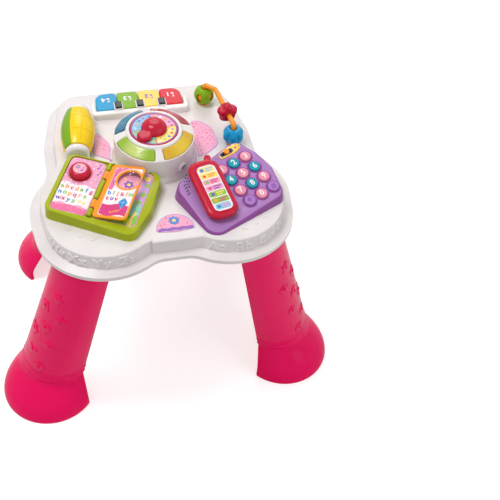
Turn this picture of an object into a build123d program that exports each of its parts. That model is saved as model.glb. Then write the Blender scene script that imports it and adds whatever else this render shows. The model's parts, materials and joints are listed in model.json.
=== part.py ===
"""Musical activity table: a play panel on four pull-off legs.

Units are millimetres, +Z is up, the floor is Z = 0.
The origin is the point on the floor under the axis of the central spinner.
-Y is the side where the child stands, +X is the telephone side.
"""
from math import cos, pi, radians, sin, sqrt, tan

from build123d import *
import os

os.makedirs("parts", exist_ok=True)

# ---- clearances --------------------------------------------------------------
RUN_FIT = 0.05          # radial gap of a pin or axle that turns in its bore
SLIDE_GAP = 0.4         # gap round buttons, keys and lenses in their openings
BODY_GAP = 0.5          # gap between loose bodies that must never rub

# ---- panel housing -----------------------------------------------------------
WALL = 2.5              # housing wall thickness
PANEL_BOTTOM = 287.0    # underside of the panel above the floor
SPLIT_Z = PANEL_BOTTOM + 4     # seam between lower and upper housing
LIP_TOP = SPLIT_Z + 1.5        # top of the upright lip of the upper housing
FLANGE_TOP = LIP_TOP + 2       # where the sloping flange meets the side wall
DECK_Z = PANEL_BOTTOM + 27     # flat top of the housing
FLANGE_RUN = 13.0       # how far the flange runs inward
DECK_INSET = 15.0       # deck edge inside the rim outline
FRONT_LOBE_R = 86.0
FRONT_LOBE_X = 77.4
FRONT_LOBE_Y = -92.0
LOBE_SIDE_X = 81.0      # second circle that lengthens the front lobe sideways
LOBE_SIDE_Y = -65.0
BACK_LOBE_R = 46.0
BACK_LOBE_X = 84.0
BACK_LOBE_Y = 104.0
BACK_SIDE_R = 60.0      # second circle that carries the back lobe down the side
BACK_SIDE_Y = 50.0
SIDE_WAIST_X = 140.0
FRONT_WAIST_Y = -159.0
FRONT_BLEND = 34.0      # fillet between front lobe and front edge
SIDE_BLEND = 40.0       # fillet between front lobe and side edge
BLOCK_X = 6.0           # raised front block between the two lobes
BLOCK_W = 66.0
BLOCK_FRONT_Y = -150.0

# ---- legs --------------------------------------------------------------------
LEG_WALL = 3.5
LEG_TOP_A = 38.0        # half width of the leg at the panel
LEG_TOP_B = 28.0        # depth of the leg at the panel
LEG_NECK_Z = 50.0
LEG_NECK_A = 48.0
LEG_NECK_B = 44.0
FOOT_R = 66.0
FOOT_STEPS = 6          # sections that round the bell of the foot
FOOT_PAD = 7.0          # wall thickness where the foot meets the floor
LEG_FACING = 131.0      # direction of the outer face from +X
FRONT_TOP = (107.7, -139.0)
FRONT_NECK = (163.0, -113.0)
FRONT_FOOT = (173.5, -121.0)
BACK_TOP = (84.0, 94.0)
BACK_NECK = (130.0, 112.0)
BACK_FOOT = (138.0, 121.0)
SPIGOT_H = 14.0
SPIGOT_A = 30.0
SPIGOT_B = 22.0
SPIGOT_SHIFT = 13.0     # plug set back from the outer face of the leg
SPIGOT_WALL = 4.0
SOCKET_WALL = 2.0

# ---- central dome, lenses and spinner ----------------------------------------
MOUND_R = 55.5          # flared foot of the dome on the deck
MOUND_Z = DECK_Z + 6
DOME_BASE_R = 52.0
DOME_TOP_R = 51.5
DOME_SHOULDER_Z = DECK_Z + 36
LENS_R_IN = 36.8
LENS_R_OUT = 49.5
LENS_INNER_Z = DOME_SHOULDER_Z + 8
LENS_FLOOR_Z = DOME_SHOULDER_Z - 9
LENS_TRAVEL = 1.8
LENS_STEM_R = 2.0
BEZEL_Z = LENS_INNER_Z + 2.5
DISC_R = 30.6
DISC_Z0 = BEZEL_Z - 8
DISC_T = 7.0
AXLE_R = 4.0
SPINNER_R = 16.6
SPINNER_H = 12.0
LOBE_R = 9.5            # round bulge on one side of the spinner cap
LOBE_AT = (-14.5, -15.0)
LENS_SECTORS = {"lens_teal": (102, 70), "lens_red": (12, 74),
                "lens_green": (190, 72), "lens_amber": (277, 73)}
RIVET_AZ = -56.0        # small round boss on the side wall of the dome
RIVET_R = 6.0
RIVET_Z = DECK_Z + 16

# ---- roller ------------------------------------------------------------------
ROLLER_C = (-93.2, 41.3, DECK_Z + 15)
ROLLER_TURN = 7.3       # axis turned from +Y toward +X
ROLLER_TILT = 5.4       # axis drops toward the child
ROLLER_LEN = 64.0
ROLLER_R = 22.0
ROLLER_END_R = 16.5
ROLLER_AXLE_R = 3.0
TROUGH_GAP = 1.5        # gap round the drum where it dips below the deck
STAVE_T = 1.5
STAVE_ARC = 50.0
STAVES_AT = (75, 255)   # where the two staves start round the drum
CUP_LEN = 8.0
CUP_R = 15.5

# ---- piano -------------------------------------------------------------------
PIANO_X = -4.2
KEY_PITCH = 29.6
KEY_W = 28.8
KEY_Y0 = 88.0
KEY_Y1 = 122.0
KEY_BOTTOM = DECK_Z + 3.5
KEY_TOP = KEY_BOTTOM + 5.5
BAR_DEPTH = 9.0
BAR_TOP = KEY_TOP + 0.4
BLOCK_END = 6.0         # how far the piano block reaches past the keys
KEY_ROD_R = 1.5
KEY_ROD_Y = KEY_Y0 + 3
KEY_ROD_Z = KEY_BOTTOM + 2
KEY_CORNER = 13.0       # outer back corners of the first and last key
SHARP_W = 9.0
SHARP_LEN = 12.0
SHARP_T = 3.0
TONGUE_T = 1.4          # white tongue that carries each black key
TONGUE_RIM = 1.5        # how far the tongue shows round the black key

# ---- bead rail ---------------------------------------------------------------
RAIL_R = 3.5
RAIL_TOP = DECK_Z + 30
RAIL_BEND = 4.5
POST_BACK = (85.0, 96.0)
RAIL_KNEE = (98.0, 84.0)
POST_FRONT = (107.0, 9.0)
COLLAR_R = 8.0
COLLAR_H = 1.5
BEAD_R = 13.7
BEAD_BORE_GAP = 0.9
BEAD_SHELL = 2.2
BEAD_FLAT = 1.8         # how much the poles of the green bead are cut off
BEAD_Z = DECK_Z + COLLAR_H + BEAD_R - BEAD_FLAT
BLOB_R = 14.4           # reach of the two lobed beads
RED_BEAD_AT = 0.64      # place of the red bead along the straight run

# ---- picture book ------------------------------------------------------------
BOOK_C = (-78.5, -69.0, DECK_Z + 16)   # middle of the spine, level with the left page
BOOK_TURN = -25.8
BOOK_TILT = 5.0         # the pages drop toward the child
TRAY_CORNERS = ((-45, 36, 12), (-45, -37, 12), (50, -44, 13), (57, -11, 13), (55, 34, 13))
TRAY_DRAFT = 5.0
BORDER = 1.8            # border of the tray above the pages
LEAF_ANGLE = 11.0       # the turning page rests this much open
PAGE_W = 44.0
PAGE_H = 86.0
BED_W = 52.0            # printed bed under the turning page
PAGE_T = 2.4
PRINT_T = 0.6
SPINE_Z = 1.4
KNUCKLE_R = 3.0
SPINE_PIN_R = 1.2
FIXED_KNUCKLES = ((-37.5, 11), (0, 30), (37.5, 11))
PAGE_KNUCKLES = ((-23.5, 12), (23.5, 12))
PEG_R = 3.0             # pegs that the turning page rests on
PEG_AT = (43.5, 36.0)
BOOK_BUTTON = (-32.0, 20.0)
BOOK_BUTTON_R = 13.0
PAGE_HOLE_R = 14.8
HOLE_RIM = 2.6          # plain ring left round the hole of the page

# ---- telephone ---------------------------------------------------------------
PHONE_C = (101.4, -70.1, DECK_Z + 18)
PHONE_TURN = 26.6
PHONE_TILT = 10.0       # the face drops toward the child
PHONE_CORNERS = ((-70, -36, 18), (15, -38, 17.3), (26, -10, 16), (24, 14, 17), (16, 33, 19), (-68, 22, 18))
PHONE_DRAFT = 12.0
PHONE_PITCH_X = 19.0
PHONE_PITCH_Y = 18.8
PHONE_KEY_R = 7.3
PHONE_KEY_H = 3.0
PHONE_KEY_TRAVEL = 1.2
HANDSET_C = (-49.7, -1.0)
HANDSET_TURN = -15.7
HANDSET_LEN = 88.0
HANDSET_W = 41.0
HANDSET_BASE_W = 31.0   # the underside is narrower and clears the keys
HANDSET_T = 14.0
HANDSET_WAIST = 7.5     # height where the handset is widest
HANDSET_CORNER = 15.0
STUB_AT = (11.0, 46.0)  # stub at the upper end of the handset
STUB_R = 4.5
CRADLE_DEPTH = 1.5
LABEL_C = (8.0, 38.5)
LABEL_W = 34.0
LABEL_H = 14.0
SLOT_LEN = 16.0
SLOT_W = 3.4

# ---- printed inlays on the deck ----------------------------------------------
LEFT_PATCH = ((-69, 56), (-55, 32), (-50, -6), (-64, 4), (-79, 14))
RIGHT_PATCH = ((59, 58), (70, 58), (84, 44), (88, 18), (86, 6), (72, -6), (56, -14), (50, 20))

# ---- inside ------------------------------------------------------------------
CELL_R = 7.25
CELL_LEN = 50.0
CELL_Y = 58.0
BAY_GAP = 0.75
DOOR_T = 2.0
DOOR_W = 62.0
DOOR_H = 74.0
SPEAKER_C = (6.0, -97.0)
SPEAKER_R = 26.0
SPEAKER_DEPTH = 11.0
BOARD_C = (72.0, -22.0)
BOARD_W = 78.0
BOARD_H = 56.0
BOARD_Z = PANEL_BOTTOM + 11
SCREW_R = 1.5
SCREW_HEAD_R = 3.0
SCREW_SPOTS = [(-40, -126), (52, -126), (-116, -22), (116, -22), (-114, 44), (114, 44), (-44, 118), (44, 118)]


def save(build, name):
    """Name the finished piece and write its file."""
    build.part.label = name
    export_step(build.part, f"parts/{name}.step")


# ---- shared outlines ---------------------------------------------------------
def rim_face(inset, z):
    """Panel outline seen from above, moved inward by inset, at height z."""
    side_x = SIDE_WAIST_X - inset
    front_y = FRONT_WAIST_Y + inset
    back_y = BACK_LOBE_Y + BACK_LOBE_R - inset
    with BuildSketch(Plane.XY.offset(z)) as outline:
        for side in (-1, 1):
            with BuildSketch(Plane.XY.offset(z)) as front_lobe:
                with Locations((side * FRONT_LOBE_X, FRONT_LOBE_Y), (side * LOBE_SIDE_X, LOBE_SIDE_Y)):
                    Circle(FRONT_LOBE_R - inset)
                make_hull()
            add(front_lobe.sketch)
            with BuildSketch(Plane.XY.offset(z)) as back_lobe:
                with Locations((side * BACK_LOBE_X, BACK_LOBE_Y)):
                    Circle(BACK_LOBE_R - inset)
                with Locations((side * (SIDE_WAIST_X - BACK_SIDE_R), BACK_SIDE_Y)):
                    Circle(BACK_SIDE_R - inset)
                make_hull()
            add(back_lobe.sketch)
        with Locations((0, (front_y + 40) / 2)):
            Rectangle(2 * FRONT_LOBE_X, 40 - front_y)
        with Locations((0, (BACK_SIDE_Y - 70) / 2)):
            Rectangle(2 * side_x, BACK_SIDE_Y + 70)
        with Locations((0, (back_y + BACK_SIDE_Y) / 2)):
            Rectangle(2 * BACK_LOBE_X, back_y - BACK_SIDE_Y)
        front = [v for v in outline.vertices() if abs(v.Y - front_y) < 0.5 and abs(v.X) < 60]
        fillet(front, FRONT_BLEND + inset)
        side = [v for v in outline.vertices() if abs(abs(v.X) - side_x) < 0.5 and v.Y < BACK_SIDE_Y - 1]
        fillet(side, SIDE_BLEND + inset)
    return outline.sketch.face()


def housing_stack(inset, z0, split_lift, flange_lift, top):
    """Solid bounded by lip, sloping flange and side wall; inset shrinks it all round."""
    lip = extrude(rim_face(inset, z0), LIP_TOP + split_lift - z0)
    flange = loft([rim_face(inset, LIP_TOP + split_lift),
                   rim_face(FLANGE_RUN + inset, FLANGE_TOP + flange_lift)])
    wall = loft([rim_face(FLANGE_RUN + inset, FLANGE_TOP + flange_lift),
                 rim_face(DECK_INSET + inset, top)])
    return lip + flange + wall


def facing(side, end):
    """Angle of a leg's outer face: side -1 left, 1 right; end -1 front, 1 back."""
    angle = LEG_FACING if side < 0 else 180 - LEG_FACING
    return angle if end > 0 else -angle


def leg_plane(centre, side, end, z):
    turn = radians(facing(side, end))
    return Plane(origin=(side * centre[0], centre[1], z), x_dir=(sin(turn), -cos(turn), 0), z_dir=(0, 0, 1))


def leg_face(plane, half_width, depth, wall):
    """C-shaped section, open toward the middle of the table."""
    with BuildSketch(plane) as section:
        Ellipse(half_width, depth)
        Ellipse(half_width - wall, depth - wall, mode=Mode.SUBTRACT)
        with Locations((0, -depth / 2 - 0.5)):
            Rectangle(2 * half_width + 4, depth + 1, mode=Mode.SUBTRACT)
    return section.sketch.face()


def top_plate(plane, half_width, depth, back):
    """Closed plate inside the leg, running back far enough to carry the plug."""
    with BuildSketch(plane) as section:
        Ellipse(half_width, depth)
        with Locations((0, -depth / 2 - 0.5)):
            Rectangle(2 * half_width + 4, depth + 1, mode=Mode.SUBTRACT)
        with Locations((0, -back / 2)):
            Rectangle(2 * half_width, back)
    return section.sketch.face()


def spigot_face(plane, grow):
    """Plug section of a leg; grow adds clearance or wall on every side."""
    with BuildSketch(plane) as section:
        Ellipse(SPIGOT_A + grow, SPIGOT_B + grow)
        Ellipse(SPIGOT_A - SPIGOT_WALL - grow, SPIGOT_B - SPIGOT_WALL - grow, mode=Mode.SUBTRACT)
        with Locations((0, -SPIGOT_B / 2 - 4 - grow)):
            Rectangle(2 * SPIGOT_A + 20, SPIGOT_B + 8, mode=Mode.SUBTRACT)
    return section.sketch.face()


def spigot_plane(side, end):
    base = leg_plane(TOPS[end], side, end, PANEL_BOTTOM)
    return Plane(origin=base.from_local_coords((0, -SPIGOT_SHIFT, 0)), x_dir=base.x_dir, z_dir=base.z_dir)


def radial_plane(angle):
    """Upright half-plane through the spinner axis: x is the radius, y the height."""
    turn = radians(angle)
    return Plane(origin=(0, 0, 0), x_dir=(cos(turn), sin(turn), 0), z_dir=(sin(turn), -cos(turn), 0))


def tilted(centre, turn_deg, tilt_deg):
    """Plane turned on the deck and dropped toward the child."""
    turn = radians(turn_deg)
    tilt = radians(tilt_deg)
    return Plane(origin=centre, x_dir=(cos(turn), sin(turn) * cos(tilt), sin(turn) * sin(tilt)),
                 z_dir=(0, -sin(tilt), cos(tilt)))


def drafted(outline, plane, grow, height, draft):
    """Block whose outline shrinks evenly as it rises; outline is a function of plane and growth."""
    return loft([outline(plane, grow), outline(plane.offset(height), grow - height * tan(radians(draft)))])


TOPS = {-1: FRONT_TOP, 1: BACK_TOP}
BOOK = tilted(BOOK_C, BOOK_TURN, BOOK_TILT)
BOOK_FLAT = tilted((BOOK_C[0], BOOK_C[1], DECK_Z), BOOK_TURN, 0)
PHONE = tilted(PHONE_C, PHONE_TURN, PHONE_TILT)
PHONE_FLAT = tilted((PHONE_C[0], PHONE_C[1], DECK_Z), PHONE_TURN, 0)
AXIS_R = (sin(radians(ROLLER_TURN)) * cos(radians(ROLLER_TILT)),
          cos(radians(ROLLER_TURN)) * cos(radians(ROLLER_TILT)), sin(radians(ROLLER_TILT)))
SPIN = Axis((0, 0, 0), (0, 0, 1))


# ---- roller shapes -----------------------------------------------------------
ROLLER_RADIAL = Vector(*AXIS_R).cross(Vector(0, 0, 1)).normalized()
ROLLER_UP = ROLLER_RADIAL.cross(Vector(*AXIS_R))
ROLLER_AXIS = Axis(ROLLER_C, AXIS_R)
ROLLER_ROUND = Plane(origin=ROLLER_C, x_dir=ROLLER_RADIAL, z_dir=AXIS_R)


def turned(angle):
    """Section plane of the roller turned about its own axis: x is the radius, y runs along the axis."""
    x_dir = ROLLER_UP * cos(radians(angle)) - ROLLER_RADIAL * sin(radians(angle))
    return Plane(origin=ROLLER_C, x_dir=x_dir, z_dir=x_dir.cross(Vector(*AXIS_R)))


def barrel(inner, grow, longer, angle, arc):
    """Barrel-shaped ring round the roller axis; grow widens it and longer adds to each end."""
    half = ROLLER_LEN / 2 + longer
    with BuildPart() as ring:
        with BuildSketch(turned(angle)):
            with BuildLine():
                a = Line((inner, -half), (ROLLER_END_R + grow, -half))
                b = ThreePointArc(a @ 1, (ROLLER_R + grow, 0), (ROLLER_END_R + grow, half))
                c = Line(b @ 1, (inner, half))
                Line(c @ 1, a @ 0)
            make_face()
        revolve(axis=ROLLER_AXIS, revolution_arc=arc)
    return ring.part


# ---- upper housing -----------------------------------------------------------
with BuildPart() as trough:
    add(barrel(0, TROUGH_GAP + WALL, BODY_GAP + WALL, 0, 360))
    split(bisect_by=Plane.XY.offset(DECK_Z - 0.5), keep=Keep.BOTTOM)

with BuildPart() as top_shell:
    add(housing_stack(0, SPLIT_Z, 0, 0, DECK_Z))
    with BuildSketch(Plane.XY.offset(LIP_TOP)):
        with Locations((BLOCK_X, (BLOCK_FRONT_Y - 135) / 2)):
            Rectangle(BLOCK_W, -135 - BLOCK_FRONT_Y)
    extrude(amount=DECK_Z - LIP_TOP)
    fillet(top_shell.edges().filter_by(Plane.XY).group_by(Axis.Z)[-1], 2.2)
    add(housing_stack(WALL, SPLIT_Z, -1.2, -1.2, DECK_Z - WALL), mode=Mode.SUBTRACT)
    # openings for the lens switches, the book button and the phone wiring
    with BuildSketch(Plane.XY.offset(DECK_Z - 4)):
        Circle(34)
        with Locations(BOOK_FLAT.from_local_coords(Vector(*BOOK_BUTTON, 0))):
            Circle(6)
        with Locations((PHONE_C[0], PHONE_C[1])):
            Circle(12)
    extrude(amount=8, mode=Mode.SUBTRACT)
    # trough that the roller dips into
    add(trough.part)
    add(barrel(0, TROUGH_GAP, BODY_GAP, 0, 360), mode=Mode.SUBTRACT)
    # holes that take the ends of the bead rail
    with BuildSketch(Plane.XY.offset(DECK_Z - 4)):
        with Locations(POST_BACK, POST_FRONT):
            Circle(RAIL_R)
    extrude(amount=8, mode=Mode.SUBTRACT)
    # screw towers hanging from the deck
    with BuildSketch(Plane.XY.offset(SPLIT_Z + 2)):
        with Locations(*SCREW_SPOTS):
            Circle(4.5)
    extrude(until=Until.NEXT)
    with BuildSketch(Plane.XY.offset(SPLIT_Z)):
        with Locations(*SCREW_SPOTS):
            Circle(SCREW_R)
    extrude(amount=12, mode=Mode.SUBTRACT)
save(top_shell, "top_shell")

# ---- lower housing with the four leg sockets ---------------------------------
with BuildPart() as bottom_shell:
    add(extrude(rim_face(0, PANEL_BOTTOM), SPLIT_Z - PANEL_BOTTOM))
    add(extrude(rim_face(3.5, PANEL_BOTTOM + WALL), SPLIT_Z), mode=Mode.SUBTRACT)
    for end in (-1, 1):
        for side in (-1, 1):
            base = spigot_plane(side, end)
            add(extrude(spigot_face(base, BODY_GAP + SOCKET_WALL), SPIGOT_H + 3))
    for end in (-1, 1):
        for side in (-1, 1):
            add(extrude(spigot_face(spigot_plane(side, end), BODY_GAP), SPIGOT_H + 1), mode=Mode.SUBTRACT)
    # battery bay: an open well closed by the door
    with BuildSketch(Plane.XY.offset(PANEL_BOTTOM)):
        with Locations((0, CELL_Y)):
            Rectangle(DOOR_W + 6, DOOR_H + 4)
    extrude(amount=21)
    with BuildSketch(Plane.XY.offset(PANEL_BOTTOM + DOOR_T + 0.5)):
        with Locations((0, CELL_Y)):
            Rectangle(6 * CELL_R + 4 * BAY_GAP, CELL_LEN + 9)
    extrude(amount=2 * CELL_R + 1, mode=Mode.SUBTRACT)
    with BuildSketch(Plane.XY.offset(PANEL_BOTTOM)):
        with Locations((0, CELL_Y)):
            Rectangle(6 * CELL_R + 4 * BAY_GAP, CELL_LEN + 9)
    extrude(amount=DOOR_T + 1, mode=Mode.SUBTRACT)
    with BuildSketch(Plane.XY.offset(PANEL_BOTTOM)):
        with Locations((0, CELL_Y)):
            RectangleRounded(DOOR_W + 2 * BODY_GAP, DOOR_H + 2 * BODY_GAP, 5)
    extrude(amount=DOOR_T, mode=Mode.SUBTRACT)
    # screw pads with counterbores
    with BuildSketch(Plane.XY.offset(PANEL_BOTTOM)):
        with Locations(*SCREW_SPOTS):
            Circle(6)
    extrude(amount=SPLIT_Z + 2 - PANEL_BOTTOM)
    with BuildSketch(Plane.XY.offset(PANEL_BOTTOM)):
        with Locations(*SCREW_SPOTS):
            Circle(SCREW_HEAD_R + 0.4)
    extrude(amount=3, mode=Mode.SUBTRACT)
    with BuildSketch(Plane.XY.offset(PANEL_BOTTOM)):
        with Locations(*SCREW_SPOTS):
            Circle(SCREW_R + 0.2)
    extrude(amount=9, mode=Mode.SUBTRACT)
    # speaker seat, grille and board posts
    with BuildSketch(Plane.XY.offset(PANEL_BOTTOM + WALL)):
        with Locations(SPEAKER_C):
            Circle(SPEAKER_R + 2.5)
            Circle(SPEAKER_R + 0.3, mode=Mode.SUBTRACT)
    extrude(amount=6)
    with BuildSketch(Plane.XY.offset(PANEL_BOTTOM)):
        with Locations(SPEAKER_C):
            with PolarLocations(15, 12):
                Circle(1.8)
            with PolarLocations(8, 6):
                Circle(1.8)
    extrude(amount=WALL, mode=Mode.SUBTRACT)
    with BuildSketch(Plane.XY.offset(PANEL_BOTTOM + WALL)):
        with Locations(BOARD_C):
            with GridLocations(BOARD_W - 8, BOARD_H - 8, 2, 2):
                Circle(3)
    extrude(amount=BOARD_Z - PANEL_BOTTOM - WALL)
save(bottom_shell, "bottom_shell")

# ---- battery door, cells and contacts ----------------------------------------
with BuildPart() as battery_door:
    with BuildSketch(Plane.XY.offset(PANEL_BOTTOM)):
        with Locations((0, CELL_Y)):
            RectangleRounded(DOOR_W, DOOR_H, 4.5)
    extrude(amount=DOOR_T)
    with BuildSketch(Plane.XY.offset(PANEL_BOTTOM)):
        with Locations((0, CELL_Y - DOOR_H / 2 + 12)):
            with GridLocations(0, 3, 1, 4):
                Rectangle(22, 1.2)
    extrude(amount=0.8, mode=Mode.SUBTRACT)
save(battery_door, "battery_door")

CELL_Z = PANEL_BOTTOM + DOOR_T + 1.0 + CELL_R
with BuildPart() as batteries:
    for i in (-1, 0, 1):
        x = i * (2 * CELL_R + BAY_GAP)
        way = 1 if i == 0 else -1
        start = Plane(origin=(x, CELL_Y - way * (CELL_LEN / 2), CELL_Z), z_dir=(0, way, 0))
        with BuildSketch(start):
            Circle(CELL_R - 0.05)
        extrude(amount=CELL_LEN - 1.5)
        with BuildSketch(start.offset(CELL_LEN - 1.5)):
            Circle(2.7)
        extrude(amount=1.5)
save(batteries, "batteries")

with BuildPart() as battery_contacts:
    for i in (-1, 0, 1):
        for way in (-1, 1):
            x = i * (2 * CELL_R + BAY_GAP)
            y = CELL_Y + way * (CELL_LEN + 9) / 2
            with Locations((x, y - way * 0.4, CELL_Z)):
                Box(11, 0.8, 11)
            with Locations((x, y - way * 2.0, CELL_Z)):
                Box(5, 2.4, 5)
save(battery_contacts, "battery_contacts")

# ---- speaker, board, screws --------------------------------------------------
with BuildPart() as speaker:
    with BuildSketch(Plane.XZ.offset(-SPEAKER_C[1])):
        with BuildLine():
            z0 = PANEL_BOTTOM + WALL
            Polyline((SPEAKER_C[0], z0 + 1.5), (SPEAKER_C[0] + 17, z0 + 1.5), (SPEAKER_C[0] + SPEAKER_R - 3, z0),
                     (SPEAKER_C[0] + SPEAKER_R, z0), (SPEAKER_C[0] + SPEAKER_R, z0 + 2.5),
                     (SPEAKER_C[0] + 15, z0 + 7), (SPEAKER_C[0] + 14, z0 + SPEAKER_DEPTH),
                     (SPEAKER_C[0], z0 + SPEAKER_DEPTH), close=True)
        make_face()
    revolve(axis=Axis((SPEAKER_C[0], SPEAKER_C[1], 0), (0, 0, 1)))
save(speaker, "speaker")

with BuildPart() as main_board:
    with BuildSketch(Plane.XY.offset(BOARD_Z)):
        with Locations(BOARD_C):
            Rectangle(BOARD_W, BOARD_H)
    extrude(amount=1.6)
    with BuildSketch(Plane.XY.offset(BOARD_Z + 1.6)):
        with Locations(BOARD_C):
            with GridLocations(26, 0, 3, 1):
                Rectangle(13, 13)
            with GridLocations(11, 36, 6, 2):
                Rectangle(4, 3)
    extrude(amount=1.8)
save(main_board, "main_board")

with BuildPart() as casing_screws:
    with BuildSketch(Plane.XY.offset(PANEL_BOTTOM + 0.8)):
        with Locations(*SCREW_SPOTS):
            Circle(SCREW_HEAD_R)
    extrude(amount=2.2)
    with BuildSketch(Plane.XY.offset(PANEL_BOTTOM + 3)):
        with Locations(*SCREW_SPOTS):
            Circle(SCREW_R)
    extrude(amount=11.5)
    with BuildSketch(Plane.XY.offset(PANEL_BOTTOM + 0.8)):
        with Locations(*SCREW_SPOTS):
            Rectangle(4, 0.8)
            Rectangle(0.8, 4)
    extrude(amount=1.2, mode=Mode.SUBTRACT)
save(casing_screws, "casing_screws")


# ---- legs --------------------------------------------------------------------
def make_leg(name, side, end):
    top = TOPS[end]
    neck = FRONT_NECK if end < 0 else BACK_NECK
    foot = FRONT_FOOT if end < 0 else BACK_FOOT
    at_top = leg_plane(top, side, end, PANEL_BOTTOM)
    at_neck = leg_plane(neck, side, end, LEG_NECK_Z)
    with BuildPart() as leg:
        add(loft([leg_face(at_neck, LEG_NECK_A, LEG_NECK_B, LEG_WALL),
                  leg_face(at_top, LEG_TOP_A, LEG_TOP_B, LEG_WALL)]))
        # bell-shaped foot: a quarter wave from the floor up to the neck
        sections = []
        for step in range(FOOT_STEPS + 1):
            share = step / FOOT_STEPS
            rise = sin(share * pi / 2)
            slack = (1 - cos(share * pi / 2)) ** 1.2
            centre = (foot[0] + (neck[0] - foot[0]) * slack, foot[1] + (neck[1] - foot[1]) * slack)
            plane = leg_plane(centre, side, end, LEG_NECK_Z * rise)
            wall = FOOT_PAD + (LEG_WALL - FOOT_PAD) * min(1, 3 * share)
            sections.append(leg_face(plane, FOOT_R + (LEG_NECK_A - FOOT_R) * slack,
                                     FOOT_R + (LEG_NECK_B - FOOT_R) * slack, wall))
        for lower, upper in zip(sections, sections[1:]):
            add(loft([lower, upper]))
        # plate that closes the top, and the plug above it
        add(extrude(top_plate(at_top, LEG_TOP_A - 1.5, LEG_TOP_B - 1.5, SPIGOT_SHIFT + 2), -3))
        add(extrude(spigot_face(spigot_plane(side, end), 0), SPIGOT_H))
    save(leg, name)


for end, end_name in ((-1, "front"), (1, "back")):
    for side, side_name in ((-1, "left"), (1, "right")):
        make_leg(f"leg_{end_name}_{side_name}", side, end)

# ---- central dome ------------------------------------------------------------
with BuildPart() as centre_dome:
    with BuildSketch(radial_plane(0)):
        with BuildLine():
            Polyline((0, DECK_Z), (MOUND_R, DECK_Z), (MOUND_R - 0.5, DECK_Z + 2), (DOME_BASE_R + 1.5, MOUND_Z - 1),
                     (DOME_BASE_R, MOUND_Z + 1.5), (DOME_TOP_R, DOME_SHOULDER_Z), (LENS_R_IN - 0.5, LENS_INNER_Z),
                     (LENS_R_IN - 1.5, BEZEL_Z - 1), (LENS_R_IN - 3, BEZEL_Z),
                     (DISC_R + 1.4, BEZEL_Z), (DISC_R + SLIDE_GAP, BEZEL_Z - 1.5),
                     (DISC_R + SLIDE_GAP, DISC_Z0), (0, DISC_Z0), close=True)
        make_face()
    revolve(axis=SPIN)
    with BuildSketch(radial_plane(0)):
        with BuildLine():
            Polyline((0, DECK_Z - 1), (MOUND_R - WALL - 1, DECK_Z - 1), (DOME_BASE_R - WALL, MOUND_Z),
                     (DOME_TOP_R - WALL, LENS_FLOOR_Z - WALL - 0.5), (DISC_R - 1, LENS_FLOOR_Z - WALL - 0.5),
                     (DISC_R - 1, DISC_Z0 - WALL), (0, DISC_Z0 - WALL), close=True)
        make_face()
    revolve(axis=SPIN, mode=Mode.SUBTRACT)
    for start, arc in LENS_SECTORS.values():
        with BuildSketch(radial_plane(start - 0.6)):
            with BuildLine():
                Polyline((LENS_R_IN - SLIDE_GAP, LENS_FLOOR_Z), (LENS_R_OUT + SLIDE_GAP, LENS_FLOOR_Z),
                         (LENS_R_OUT + SLIDE_GAP, BEZEL_Z + 2), (LENS_R_IN - SLIDE_GAP, BEZEL_Z + 2), close=True)
            make_face()
        revolve(axis=SPIN, revolution_arc=arc + 1.2, mode=Mode.SUBTRACT)
        with BuildSketch(Plane.XY.offset(LENS_FLOOR_Z - 8)):
            for part_way in (0.22, 0.78):
                turn = radians(start + arc * part_way)
                with Locations((44 * cos(turn), 44 * sin(turn))):
                    Circle(LENS_STEM_R + 0.3)
        extrude(amount=10, mode=Mode.SUBTRACT)
    with BuildSketch(Plane.XY.offset(DISC_Z0 - 6)):
        Circle(AXLE_R)
    extrude(amount=8, mode=Mode.SUBTRACT)
    # round boss with a shallow dimple on the side wall
    turn = radians(RIVET_AZ)
    outward = Vector(cos(turn), sin(turn), 0)
    rivet = Plane(origin=outward * (DOME_TOP_R - 2) + Vector(0, 0, RIVET_Z), z_dir=outward)
    with BuildSketch(rivet):
        Circle(RIVET_R)
    extrude(amount=DOME_BASE_R - DOME_TOP_R + 5)
    with BuildSketch(rivet.offset(DOME_BASE_R - DOME_TOP_R + 3)):
        Circle(RIVET_R - 1.6)
    extrude(amount=5, mode=Mode.SUBTRACT)
save(centre_dome, "centre_dome")


def lens_top(radius):
    """Height of the sloping lens surface at a radius."""
    share = (LENS_R_OUT - radius) / (LENS_R_OUT - LENS_R_IN)
    return DOME_SHOULDER_Z + 1 + share * (LENS_INNER_Z + 1 - DOME_SHOULDER_Z - 1)


for name, (start, arc) in LENS_SECTORS.items():
    with BuildPart() as lens:
        with BuildSketch(radial_plane(start)):
            with BuildLine():
                Polyline((LENS_R_IN, LENS_FLOOR_Z + LENS_TRAVEL + 0.3), (LENS_R_OUT, LENS_FLOOR_Z + LENS_TRAVEL + 0.3),
                         (LENS_R_OUT, lens_top(LENS_R_OUT)), (LENS_R_IN, lens_top(LENS_R_IN)), close=True)
            make_face()
        revolve(axis=SPIN, revolution_arc=arc)
        upper = lens.edges().filter_by_position(Axis.Z, DOME_SHOULDER_Z, BEZEL_Z)
        fillet(upper, 1.2)
        for part_way in (0.22, 0.78):
            turn = radians(start + arc * part_way)
            with BuildSketch(Plane.XY.offset(LENS_FLOOR_Z - WALL - 2)):
                with Locations((44 * cos(turn), 44 * sin(turn))):
                    Circle(LENS_STEM_R)
            extrude(amount=LENS_TRAVEL + WALL + 3)
            with BuildSketch(Plane.XY.offset(LENS_FLOOR_Z - WALL - 2)):
                with Locations((44 * cos(turn), 44 * sin(turn))):
                    Circle(LENS_STEM_R + 1.1)
            extrude(amount=1.5)
    save(lens, name)

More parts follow.
